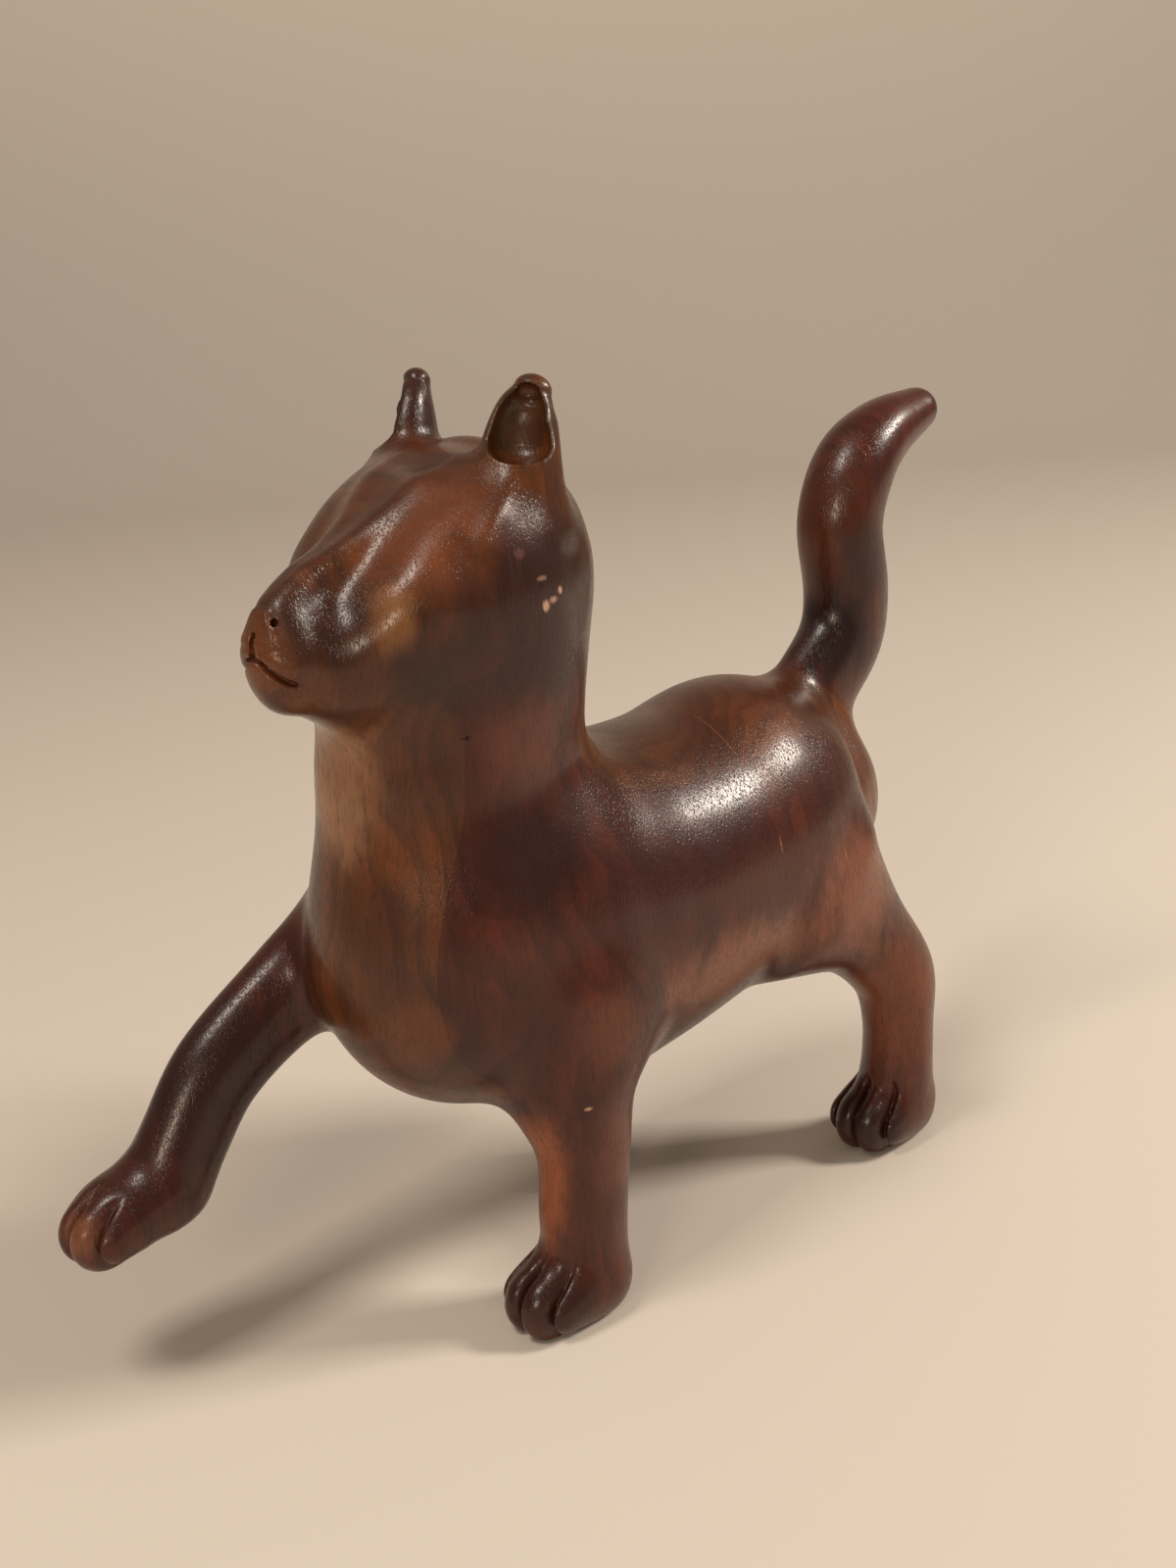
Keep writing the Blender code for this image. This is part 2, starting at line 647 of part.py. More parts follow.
def rod(name, start, end, radius, guide):
    """A round rod with small chamfers between two points."""
    start, end = Vector(start), Vector(end)
    length = (end - start).length
    chamfer = 0.15 * radius

    def build(shape):
        turn = (end - start).to_track_quat("Z", "Y").to_matrix().to_4x4()
        loops = []
        for height, across in ((0, radius - chamfer), (chamfer, radius),
                               (length - chamfer, radius), (length, radius - chamfer)):
            ring = bmesh.ops.create_circle(shape, cap_ends=False, segments=ROUND_SEGMENTS,
                                           radius=across)["verts"]
            bmesh.ops.translate(shape, verts=ring, vec=(0, 0, height))
            loops.append(ring)
        for low, high in zip(loops, loops[1:]):
            for k in range(ROUND_SEGMENTS):
                n = (k + 1) % ROUND_SEGMENTS
                shape.faces.new((low[k], low[n], high[n], high[k]))
        shape.faces.new(loops[0])
        shape.faces.new(loops[-1])
        bmesh.ops.transform(shape, matrix=Matrix.Translation(start) @ turn, verts=shape.verts)

    return place(name, mesh_of(name, build), guide)


def dowel(name, start, end, diameter):
    """A dowel and the hole it sits in, which is longer and wider than it by the glue gap."""
    start, end = Vector(start), Vector(end)
    along_it = (end - start).normalized()
    pin = rod(name, start, end, diameter / 2, False)
    finish(pin, "beech")
    hole = rod(name + "_hole", start - along_it * GLUE_GAP, end + along_it * GLUE_GAP,
               diameter / 2 + GLUE_GAP, True)
    return hole


def finish(made, timber):
    made.data.materials.clear()
    made.data.materials.append(wood(timber))
    made.data.shade_smooth()
    made.data.set_sharp_from_angle(angle=math.radians(35))


def make_cat():
    clear_scene()
    rough = blank()
    skin = place("skin", evaluated(rough, "skin"), guide=True)
    cut(skin, ears(), "UNION")
    for carving in (ear_scoops, face_hollows, mouth, toe_grooves):
        cut(skin, carving())
    figure = evaluated(skin, "figure")

    joints = limb_joints()
    timbers = {"left_foreleg": "mahogany", "left_hind_leg": "mahogany", "right_hind_leg": "mahogany",
               "right_foreleg": "red_mahogany", "tail": "red_mahogany"}
    holes, rooms = {}, {}
    for name, (stations, seat_share, tip_share, (block, room)) in joints.items():
        holes[name] = dowel(name + "_dowel", *limb_dowel_ends(stations, seat_share, tip_share),
                            LIMB_DOWEL_DIAMETER)
        piece = place(name, figure.copy())
        cut(piece, socket(name + "_block", block, 0.0), "INTERSECT")
        cut(piece, holes[name])
        finish(piece, timbers[name])
        rooms[name] = socket(name + "_room", room, GLUE_GAP)

    neck_middle = Vector((0, NECK_BASE[1] - 0.04 * NECK_DEPTH, NECK_BASE[2] + HEAD_JOINT_RISE))
    half_pin = Vector((0, 0, NECK_DOWEL_LENGTH / 2))
    neck_hole = dowel("neck_dowel", neck_middle - half_pin, neck_middle + half_pin, NECK_DOWEL_DIAMETER)
    skull = place("head", figure.copy())
    cut(skull, head_block("head_block", 0.0), "INTERSECT")
    cut(skull, neck_hole)
    finish(skull, "golden_mahogany")

    chest_y = BREAST + 0.27 * TRUNK_LENGTH
    rump_y = TRUNK_REAR - 0.42 * TRUNK_LENGTH
    half, rise = CROSS_DOWEL_LENGTH / 2, TRUNK_HEIGHT + 0.06 * TRUNK_DEPTH
    cross_holes = [dowel(name, (-half, y, rise), (half, y, rise), CROSS_DOWEL_DIAMETER)
                   for name, y in (("chest_dowel", chest_y), ("rump_dowel", rump_y))]

    torso = place("torso", figure, guide=True)
    for room in [head_block("head_room", GLUE_GAP), *rooms.values(), *holes.values(), neck_hole,
                 *cross_holes]:
        cut(torso, room)
    blocked = evaluated(torso, "blocked")
    side = CORE_THICKNESS / 2
    boards = {"core_board": (-side, side, "golden_mahogany"),
              "left_side_board": (side + GLUE_GAP, ROOM, "red_mahogany"),
              "right_side_board": (-ROOM, -side - GLUE_GAP, "red_mahogany")}
    for name, (x_low, x_high, timber) in boards.items():
        board = place(name, blocked.copy())
        cut(board, board_block(name + "_block", x_low, x_high), "INTERSECT")
        finish(board, timber)


make_cat()
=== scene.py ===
"""The looks of the carved wooden cat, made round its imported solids.

The whole figure is one skin: the zero surface of a distance field, worked out in millimetres. The skin is
cut along the joints into the pieces that the cat is made of, and each piece is stained and lacquered wood.
The cat looks along -Y, its left is +X, and it stands on Z = 0.
"""
import math

import bpy
import numpy as np
from mathutils import Matrix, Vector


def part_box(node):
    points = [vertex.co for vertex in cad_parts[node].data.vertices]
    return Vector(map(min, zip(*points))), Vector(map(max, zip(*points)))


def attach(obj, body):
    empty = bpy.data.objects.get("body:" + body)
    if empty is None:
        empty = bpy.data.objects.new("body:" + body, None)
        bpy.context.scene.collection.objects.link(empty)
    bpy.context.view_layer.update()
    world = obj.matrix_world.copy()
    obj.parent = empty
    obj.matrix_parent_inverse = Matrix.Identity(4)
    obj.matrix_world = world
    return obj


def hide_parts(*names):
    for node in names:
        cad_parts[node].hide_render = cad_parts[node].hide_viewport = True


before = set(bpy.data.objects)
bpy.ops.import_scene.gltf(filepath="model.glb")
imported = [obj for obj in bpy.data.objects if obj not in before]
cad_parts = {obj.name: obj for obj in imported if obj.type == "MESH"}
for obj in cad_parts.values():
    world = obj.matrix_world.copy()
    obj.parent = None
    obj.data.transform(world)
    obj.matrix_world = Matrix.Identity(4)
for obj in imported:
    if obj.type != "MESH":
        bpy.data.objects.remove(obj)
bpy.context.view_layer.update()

MM = 0.001
FAR = 1000.0
BLEND_REACH = 14.0

# Driving sizes of the figure, in millimetres: those of the solids, but for ears 0.5 mm thinner

TRUNK_LENGTH, TRUNK_WIDTH, TRUNK_DEPTH, TRUNK_HEIGHT, TRUNK_REAR = 98.0, 62.0, 74.0, 75.5, 63.85
NECK_RISE, NECK_WIDTH, NECK_DEPTH = 76.5, 53.0, 56.0
HEAD_LENGTH, HEAD_WIDTH, HEAD_DEPTH, HEAD_FALL = 43.5, 48.5, 38.0, 12.5
EAR_HEIGHT, EAR_WIDTH, EAR_THICKNESS, EAR_SPREAD = 24.5, 18.0, 15.0, 33.0
TAIL_HEIGHT, TAIL_REACH, TAIL_THICKNESS = 67.5, 47.0, 18.5
SHOULDER_SPREAD, HIP_SPREAD, LEG_THICKNESS = 37.5, 33.5, 20.0
FORE_STANCE, HIND_STANCE, STEPPING_STANCE = -25.15, 69.85, 14.85
RAISED_REACH, RAISED_DROP = 75.0, 40.0
PAW_LENGTH, PAW_WIDTH, PAW_HEIGHT, SOLE_BED, STEPPING_PAW_SIZE = 25.5, 19.5, 15.5, 1.7, 0.84
CORE_THICKNESS, HEAD_JOINT_RISE, HEAD_JOINT_SLOPE = 40.0, 51.0, 0.18
HALF_CORE = CORE_THICKNESS / 2
BREAST = TRUNK_REAR - TRUNK_LENGTH
NECK_BASE = np.array([0.0, TRUNK_REAR - 0.888 * TRUNK_LENGTH, TRUNK_HEIGHT - 0.038 * TRUNK_DEPTH])
SKULL = NECK_BASE + (0.0, 0.071 * NECK_DEPTH, NECK_RISE)

# The head is turned to the cat's left, a little more than in the solids: this much sideways for each
# millimetre ahead of the ears
HEAD_TURN = 0.10
TURN_FROM = -20.0


# Forms as distance fields

def smooth_rows(rows, steps):
    """Catmull-Rom curve through rows of numbers: steps rows for each span, ends included."""
    rows = np.asarray(rows, float)
    ends = np.vstack([2 * rows[0] - rows[1], rows, 2 * rows[-1] - rows[-2]])
    a, b, c, d = (ends[k:len(ends) - 3 + k, None, :] for k in range(4))
    t = (np.arange(steps) / steps)[None, :, None]
    spans = 0.5 * (2 * b + (c - a) * t + (2 * a - 5 * b + 4 * c - d) * t ** 2
                   + (3 * b - a - 3 * c + d) * t ** 3)
    return np.vstack([spans.reshape(-1, rows.shape[1]), rows[-1:]])


def form(anchor, reach, width, depth, rows):
    """Stations from shares: each row is the share of the reach in x, y, z, then of width and depth."""
    rows = np.asarray(rows, float)
    return np.hstack([np.asarray(anchor) + rows[:, :3] * np.asarray(reach),
                      rows[:, 3:4] * width / 2, rows[:, 4:5] * depth / 2])


class Loft:
    """Distance to a form whose oval sections follow a path, with a dome on each end.

    The planes of the sections fan out along the path. A point between two of them is measured
    against the section that it lies in, whose centre, directions and half axes are read between
    the two. Past the ends it is measured against an ellipsoid that the last section starts.
    """

    def __init__(self, stations, steps=6, side=(1.0, 0.0, 0.0)):
        table = smooth_rows(stations, steps)
        self.centre, self.half = table[:, :3], table[:, 3:5]
        run = np.gradient(self.centre, axis=0)
        self.run = run / np.linalg.norm(run, axis=1)[:, None]
        across = np.asarray(side, float) - (self.run @ np.asarray(side, float))[:, None] * self.run
        self.across = across / np.linalg.norm(across, axis=1)[:, None]
        self.rise = np.cross(self.run, self.across)
        reach = self.half.max(1)[:, None] + BLEND_REACH
        self.low, self.high = (self.centre - reach).min(0), (self.centre + reach).max(0)

    def __call__(self, p):
        out = np.full(len(p), FAR)
        near = np.flatnonzero(np.all((p > self.low) & (p < self.high), axis=1))
        q = p[near]
        best = np.full(len(q), FAR)
        past = q @ self.run.T - (self.centre * self.run).sum(1)
        for k in range(len(self.centre) - 1):
            rows = np.flatnonzero((past[:, k] >= 0) & (past[:, k + 1] < 0))
            t = (past[rows, k] / (past[rows, k] - past[rows, k + 1]))[:, None]
            centre, across, rise, half = (one[k] + t * (one[k + 1] - one[k]) for one in (
                self.centre, self.across, self.rise, self.half))
            off = q[rows] - centre
            local = np.stack([(off * across).sum(1), (off * rise).sum(1)], 1)
            best[rows] = np.minimum(best[rows], oval(local, half))
        for k, way in ((0, -1), (-1, 1)):
            rows = np.flatnonzero(way * past[:, k] >= 0)
            off = q[rows] - self.centre[k]
            local = off @ np.stack([self.across[k], self.rise[k], self.run[k]], 1)
            best[rows] = np.minimum(best[rows], oval(local, np.append(self.half[k], self.half[k].min())))
        out[near] = best
        return out


def oval(local, half):
    """Distance to an ellipse or an ellipsoid, from the value and the slope of its equation."""
    share = np.sqrt(((local / half) ** 2).sum(1))
    steep = np.sqrt(((local / half ** 2) ** 2).sum(1)) + 1e-9
    least = np.min(half, axis=-1)
    return np.where(share < 0.05, -0.95 * least, share * (share - 1) / steep)


class Path:
    """Distance to a smooth line through points."""

    def __init__(self, points, steps=5):
        self.points = smooth_rows(points, steps)

    def __call__(self, p):
        best = np.full(len(p), FAR ** 2)
        for a, b in zip(self.points, self.points[1:]):
            t = np.clip((p - a) @ (b - a) / ((b - a) @ (b - a)), 0, 1)
            best = np.minimum(best, ((p - a - t[:, None] * (b - a)) ** 2).sum(1))
        return np.sqrt(best)


def blend(a, b, size):
    """Union of two distances with a fillet of about the given size."""
    h = np.clip(size - np.abs(a - b), 0, None)
    return np.minimum(a, b) - h * h / (4 * size)


def carve(a, b, size):
    """The first form without the second, with edges rounded to about the given size."""
    return -blend(-a, b, size)


def ease(value, low, high):
    """Smooth step: 0 at low, 1 at high."""
    t = np.clip((value - low) / (high - low), 0, 1)
    return t * t * (3 - 2 * t)


def swell(distance, reach):
    """A soft round hump: 1 on the line, and almost nothing at twice the reach."""
    return np.exp(-(distance / reach) ** 2)


class RubbedGrid:
    """A field sampled on a grid and read back as a cubic B-spline, which also rubs it smooth."""

    def __init__(self, field, low, high, step):
        self.low, self.step = np.asarray(low, float), step
        counts = np.ceil((np.asarray(high) - low) / step).astype(int) + 1
        self.values = sample(field, self.low, counts, step).astype(np.float32)
        self.most = np.array(counts) - 3

    def __call__(self, p):
        u = (p - self.low) / self.step
        i = np.clip(np.floor(u).astype(int), 1, self.most)
        t = np.clip(u - i, 0, 1)
        weights = np.stack([(1 - t) ** 3, 3 * t ** 3 - 6 * t ** 2 + 4,
                            -3 * t ** 3 + 3 * t ** 2 + 3 * t + 1, t ** 3]) / 6
        _, rows, columns = self.values.shape
        flat = self.values.ravel()
        start = (i[:, 0] - 1) * rows * columns + (i[:, 1] - 1) * columns + i[:, 2] - 1
        out = np.zeros(len(p))
        for a in range(4):
            for b in range(4):
                line = start + a * rows * columns + b * columns
                inner = sum(weights[c, :, 2] * flat[line + c] for c in range(4))
                out += weights[a, :, 0] * weights[b, :, 1] * inner
        return out


def sample(field, low, counts, step):
    """Field values at the nodes of a grid, a slice at a time."""
    y, z = (low[k] + step * np.arange(counts[k]) for k in (1, 2))
    plane = np.stack(np.meshgrid(y, z, indexing="ij"), -1).reshape(-1, 2)
    slices = []
    for k in range(counts[0]):
        points = np.column_stack([np.full(len(plane), low[0] + step * k), plane])
        slices.append(field(points).reshape(counts[1], counts[2]))
    return np.stack(slices)


# The rough figure

def mirrored(stations):
    """Stations carried over to the cat's other side."""
    return np.asarray(stations) * (-1, 1, 1, 1, 1)


TRUNK = form((0, TRUNK_REAR, TRUNK_HEIGHT), (0, -TRUNK_LENGTH, TRUNK_DEPTH), TRUNK_WIDTH, TRUNK_DEPTH, (
    (0, 0.00, 0.030, 0.56, 0.54),
    (0, 0.07, 0.035, 0.78, 0.74),
    (0, 0.20, 0.026, 0.91, 0.88),
    (0, 0.38, -0.008, 0.95, 0.86),
    (0, 0.59, -0.034, 0.99, 0.92),
    (0, 0.79, -0.027, 1.00, 1.00),
    (0, 1.00, -0.025, 0.84, 0.78)))
NECK = form(NECK_BASE, (0, NECK_DEPTH, NECK_RISE), NECK_WIDTH, NECK_DEPTH, (
    (0, 0.00, 0.00, 1.00, 1.00),
    (0, -0.08, 0.26, 0.95, 0.98),
    (0, -0.12, 0.47, 0.86, 0.95),
    (0, -0.08, 0.65, 0.90, 0.87),
    (0, -0.03, 0.85, 0.96, 0.79),
    (0, -0.05, 1.00, 0.90, 0.68)))
HEAD = form(SKULL, (0, -HEAD_LENGTH, -HEAD_FALL), HEAD_WIDTH, HEAD_DEPTH, (
    (0, -0.02, 0.05, 0.85, 0.78),
    (0, 0.13, 0.20, 1.02, 1.04),
    (0, 0.44, 0.55, 0.98, 1.01),
    (0, 0.68, 0.88, 0.84, 0.84),
    (0, 0.86, 1.02, 0.62, 0.68),
    (0, 1.04, 0.98, 0.36, 0.50)))
BRIDGE = [(0, -36, 157.9, 2.4, 5.0), (0, -40, 155.5, 2.4, 5.0), (0, -44, 153.5, 2.4, 5.0),
          (0, -48, 151.7, 2.4, 5.0), (0, -52, 150.4, 2.4, 5.0), (0, -56, 149.0, 2.4, 5.0),
          (0, -60, 147.6, 2.4, 5.0), (0, -65, 144.3, 2.4, 5.0)]
EAR_SEAT = np.array([EAR_SPREAD / 2, SKULL[1] - 0.08 * HEAD_LENGTH, SKULL[2] + 0.13 * HEAD_DEPTH])
EAR = form(EAR_SEAT, (EAR_SPREAD, EAR_HEIGHT, EAR_HEIGHT), EAR_WIDTH, EAR_THICKNESS, (
    (-0.02, 0.00, 0.00, 1.00, 1.00),
    (-0.01, 0.04, 0.42, 0.87, 0.86),
    (0.00, 0.12, 0.75, 0.66, 0.60),
    (0.01, 0.20, 0.93, 0.38, 0.36)))
TAIL = form((0, TRUNK_REAR - 0.055 * TRUNK_LENGTH, TRUNK_HEIGHT + 0.19 * TRUNK_DEPTH),
            (0, TAIL_REACH, TAIL_HEIGHT), TAIL_THICKNESS, TAIL_THICKNESS, (
    (0, 0.00, 0.00, 0.94, 1.32),
    (0, 0.22, 0.16, 0.78, 1.20),
    (0, 0.43, 0.31, 0.90, 1.12),
    (0, 0.48, 0.47, 0.97, 1.05),
    (0, 0.45, 0.69, 1.00, 1.02),
    (0, 0.56, 0.86, 1.00, 0.96),
    (0, 0.75, 0.95, 0.82, 0.80),
    (0, 1.00, 1.00, 0.56, 0.55)))


def standing_leg(spread, hip_y, hip_z, stance, rows):
    """A leg from hip to ankle: from the hip's place to the stance, and down to the floor."""
    return form((spread / 2, hip_y, hip_z), (LEG_THICKNESS, stance - hip_y, -hip_z),
                LEG_THICKNESS, LEG_THICKNESS, rows)


HIP_HEIGHT = TRUNK_HEIGHT - 0.158 * TRUNK_DEPTH
LEFT_FORELEG = standing_leg(SHOULDER_SPREAD, BREAST + 0.145 * TRUNK_LENGTH,
                            TRUNK_HEIGHT - 0.175 * TRUNK_DEPTH, FORE_STANCE, (
    (0.00, 0.0, 0.00, 1.50, 1.78),
    (0.05, 0.6, 0.23, 1.28, 1.36),
    (0.16, 0.6, 0.44, 0.90, 0.96),
    (0.16, 0.8, 0.65, 0.80, 0.92),
    (0.14, 0.8, 0.80, 0.78, 0.90),
    (0.13, 0.8, 0.87, 0.82, 0.90)))
LEFT_HIND_LEG = standing_leg(HIP_SPREAD, TRUNK_REAR - 0.15 * TRUNK_LENGTH, HIP_HEIGHT, HIND_STANCE, (
    (0.00, 0.00, 0.00, 1.37, 2.05),
    (0.12, 0.53, 0.17, 1.07, 1.18),
    (0.24, 0.93, 0.36, 0.96, 0.92),
    (0.26, 1.00, 0.55, 0.80, 0.78),
    (0.23, 1.00, 0.75, 0.79, 0.84),
    (0.19, 1.04, 0.84, 0.76, 0.96)))
RIGHT_HIND_LEG = mirrored(standing_leg(HIP_SPREAD, TRUNK_REAR - 0.22 * TRUNK_LENGTH, HIP_HEIGHT,
                                       STEPPING_STANCE, (
    (0.00, 0.00, 0.00, 1.35, 1.85),
    (0.12, 0.38, 0.19, 1.06, 1.30),
    (0.18, 0.68, 0.37, 0.90, 0.98),
    (0.20, 0.90, 0.56, 0.76, 0.76),
    (0.19, 0.98, 0.75, 0.74, 0.76),
    (0.18, 0.96, 0.84, 0.72, 0.84))))
SHOULDER = np.array([-SHOULDER_SPREAD / 2, BREAST + 0.085 * TRUNK_LENGTH,
                     TRUNK_HEIGHT + 0.008 * TRUNK_DEPTH])
RIGHT_FORELEG = form(SHOULDER, (-LEG_THICKNESS, -RAISED_REACH, -RAISED_DROP),
                     LEG_THICKNESS, LEG_THICKNESS, (
    (0.00, 0.00, 0.03, 1.36, 1.75),
    (0.12, 0.23, 0.11, 0.94, 1.32),
    (0.20, 0.44, 0.29, 0.76, 1.04),
    (0.21, 0.64, 0.52, 0.74, 0.95),
    (0.21, 0.755, 0.785, 0.76, 0.90),
    (0.24, 0.82, 0.98, 0.86, 0.90)))


class Paw:
    """A paw under an ankle point: a low form from heel to toes, turned by splay and pitch."""

    ROWS = np.array([(0.16, 0.02, 0.90, 1.00), (-0.08, 0.03, 0.98, 1.06), (-0.26, -0.03, 0.96, 0.96)])

    def __init__(self, ankle, splay=0.0, pitch=0.0, size=1.0):
        self.ankle, self.size = np.array(ankle), size
        sine, cosine = math.sin(splay), math.cos(splay)
        turn = np.array([(cosine, -sine, 0), (sine, cosine, 0), (0, 0, 1)])
        sine, cosine = math.sin(pitch), math.cos(pitch)
        self.turn = turn @ np.array([(1, 0, 0), (0, cosine, -sine), (0, sine, cosine)])
        reach = np.array([PAW_LENGTH, PAW_HEIGHT]) * size
        spots = np.column_stack([np.zeros(3), self.ROWS[:, :2] * reach]) @ self.turn.T + self.ankle
        self.stations = np.hstack([spots, self.ROWS[:, 2:] * (PAW_WIDTH * size / 2, PAW_HEIGHT * size / 2)])

    def local(self, p):
        """Points in the paw's own directions: across, back, up, from its ankle point."""
        return (p - self.ankle) @ self.turn / self.size


def sole_height(size=1.0):
    """Height of an ankle point whose paw beds its sole into the floor's level, to be cut flat."""
    return size * PAW_HEIGHT / 2 - SOLE_BED


PAWS = {
    "left_foreleg": Paw((SHOULDER_SPREAD / 2 + 0.10 * LEG_THICKNESS, FORE_STANCE - 0.12 * PAW_LENGTH,
                         sole_height())),
    "left_hind_leg": Paw((HIP_SPREAD / 2 + 0.13 * LEG_THICKNESS, HIND_STANCE - 0.08 * PAW_LENGTH,
                          sole_height()), splay=0.12, pitch=-0.15),
    "right_hind_leg": Paw((-HIP_SPREAD / 2 - 0.16 * LEG_THICKNESS, STEPPING_STANCE - 0.12 * PAW_LENGTH,
                           sole_height(STEPPING_PAW_SIZE)), size=STEPPING_PAW_SIZE),
    "right_foreleg": Paw(SHOULDER + (-0.26 * LEG_THICKNESS, -0.935 * RAISED_REACH, -1.05 * RAISED_DROP),
                         pitch=0.2, size=0.95),
}
LIMBS = {"left_foreleg": LEFT_FORELEG, "left_hind_leg": LEFT_HIND_LEG, "right_hind_leg": RIGHT_HIND_LEG,
         "right_foreleg": RIGHT_FORELEG, "tail": TAIL}

# Sizes of the fillets where the forms run together
NECK_BLEND, NAPE_BLEND, HEAD_BLEND, BRIDGE_BLEND, EAR_BLEND = 13.0, 6.0, 11.0, 7.0, 3.5
TAIL_BLEND, LEG_BLEND, PAW_BLEND, SOLE_EDGE = 7.0, 6.5, 4.0, 1.0

# The face before its fine carving: the sunk forehead, the raised brows, and the nose's flat-topped bridge
SINK_DEPTH, SINK_REACH, BROW_RISE, BROW_REACH = 4.4, 14.0, 1.0, 9.0
BRIDGE_TIP, BRIDGE_RUN, BRIDGE_HALF, BRIDGE_SPREAD = -66.0, 30.0, 1.5, 0.005
EAR_SIDE = (0.79, 0.61, 0.0)

trunk_form, neck_form, head_form, tail_form = Loft(TRUNK), Loft(NECK), Loft(HEAD), Loft(TAIL)
ear_form, bridge_form = Loft(EAR, side=EAR_SIDE), Loft(BRIDGE)
forehead_sink = Path([(0, -38, 166), (0, -43, 162.5), (0, -48, 159.5), (0, -53, 156.5)])
brow_rise = Path([(16.5, -46, 157), (16.5, -49, 154), (16, -53, 150.5)])
leg_forms = [(Loft(LIMBS[name]), Loft(paw.stations)) for name, paw in PAWS.items()]


def head_space(p):
    """Points with the head's turn taken out, and its right half folded onto its left."""
    q = p.copy()
    turned = HEAD_TURN * np.clip(TURN_FROM - p[:, 1], 0, None) * ease(p[:, 2], 100, 125)
    q[:, 0] = np.abs(p[:, 0] - turned)
    return q


def bridge_flat(y):
    """Half width of the flat top of the nose's bridge: a parabola that widens up to the forehead."""
    return BRIDGE_HALF + BRIDGE_SPREAD * np.clip(y - BRIDGE_TIP, 0, BRIDGE_RUN) ** 2


def rough_figure(p):
    """The figure without its ears and its fine carving."""
    fillet = NECK_BLEND + (NAPE_BLEND - NECK_BLEND) * ease(p[:, 1], -18, 0)
    d = blend(trunk_form(p), neck_form(p), fillet)
    q = head_space(p)
    d = blend(d, head_form(q), HEAD_BLEND)
    near = np.flatnonzero((q[:, 1] < -20) & (q[:, 2] > 130) & (np.abs(d) < 12))
    d[near] += SINK_DEPTH * swell(forehead_sink(q[near]), SINK_REACH)
    d[near] -= BROW_RISE * swell(brow_rise(q[near]), BROW_REACH)
    q[:, 0] = np.clip(q[:, 0] - bridge_flat(q[:, 1]), 0, None)
    d = blend(d, bridge_form(q), BRIDGE_BLEND)
    d = blend(d, tail_form(p), TAIL_BLEND)
    for leg, foot in leg_forms:
        d = blend(d, blend(leg(p), foot(p), PAW_BLEND), LEG_BLEND)
    return d


RUBBING_STEP = 2.0
ROUGH_LOW, ROUGH_HIGH = np.array([-42.0, -120.0, -8.0]), np.array([42.0, 120.0, 188.0])
rubbed = RubbedGrid(rough_figure, ROUGH_LOW, ROUGH_HIGH, RUBBING_STEP)

# Fine carving. Face points are in head space: half width from the middle of the face, y, z

CUP_FACING = np.array([0.74, -0.67, 0.05])


def ear_cup():
    """What hollows an ear from the front: it follows the ear's path, pushed towards the opening."""
    seat = EAR[0, :3]
    rows = np.array([
        (0.00, 0.07, 0.60, 0.66, 0.64),
        (0.00, 0.10, 0.74, 0.54, 0.52),
        (0.01, 0.15, 0.85, 0.40, 0.38),
        (0.01, 0.18, 0.90, 0.26, 0.25)])
    stations = form(seat, (EAR_SPREAD, EAR_HEIGHT, EAR_HEIGHT), EAR_WIDTH, EAR_THICKNESS, rows)
    push = np.array([3.8, 3.1, 2.3, 1.6])
    stations[:, :3] += push[:, None] * CUP_FACING
    return Loft(stations, side=EAR_SIDE)


cup_form = ear_cup()
HOLLOW = Path([(13.0, -38, 162), (11.5, -45, 157.5), (8.2, -53, 150.8), (6.3, -58, 147.9)])
EDGE = Path([(8.0, -27, 168.4), (7.5, -32, 166.8), (6.9, -36, 164), (6.6, -39, 161.6), (5.7, -43, 159.2),
             (4.2, -48, 156.6), (3.6, -53, 154.4), (3.3, -60, 151.2), (3.0, -64, 149.3)])
BROW = Path([(17.5, -22.5, 165.5), (19.8, -28, 162), (21.6, -33, 158), (22.4, -36.5, 154)])
CHEEK = Path([(16.0, -54.5, 143), (17.2, -52, 145), (18.4, -48.5, 147.5)])
LIP = Path([(2.0, -71, 140), (4.6, -71, 139.4), (6.4, -69.5, 137.5)])
CHIN = Path([(0, -68, 130.5), (3.5, -66.5, 130)])
NOSTRIL = Path([(2.7, -69.8, 143.7), (3.1, -69.4, 144.6)])
PHILTRUM = Path([(0, -71.4, 142.2), (0, -72.4, 139.4)])
MOUTH = Loft([(0.0, -72.6, 139.0, 0.40, 1.3), (1.8, -72.5, 138.5, 0.45, 1.4),
              (3.4, -72.2, 137.4, 0.55, 1.5), (5.8, -70.5, 135.4, 0.55, 1.4),
              (7.2, -68.7, 134.4, 0.30, 0.9)], side=(0, 0, 1.0))

# Lines of the face, with how high each stands, or how deep it is if negative, and how far it spreads
FACE_LINES = ((HOLLOW, -0.2, 4.0), (EDGE, 0.35, 2.4), (BROW, 0.9, 2.2), (CHEEK, 0.9, 6.0), (LIP, 0.8, 2.0),
              (CHIN, 0.4, 3.0))

# The nose pad widens downwards from its top, and the openings are cut to a radius with a rounded edge
PAD_TOP, PAD_FOOT, PAD_TOP_HALF, PAD_SLOPE, PAD_RISE = 147.0, 141.0, 2.0, 0.66, 0.6
NOSTRIL_RADIUS, PHILTRUM_RADIUS, CARVED_EDGE = 0.72, 0.95, 0.7

# Toe grooves: their places across the paw, how much they spread forwards, and their depth and width
TOE_GROOVES = (-5.4, 0.2, 5.8)
TOE_SPREAD, TOE_REACH, GROOVE_DEPTH, GROOVE_HALF = 0.10, 13.0, 1.7, 0.62


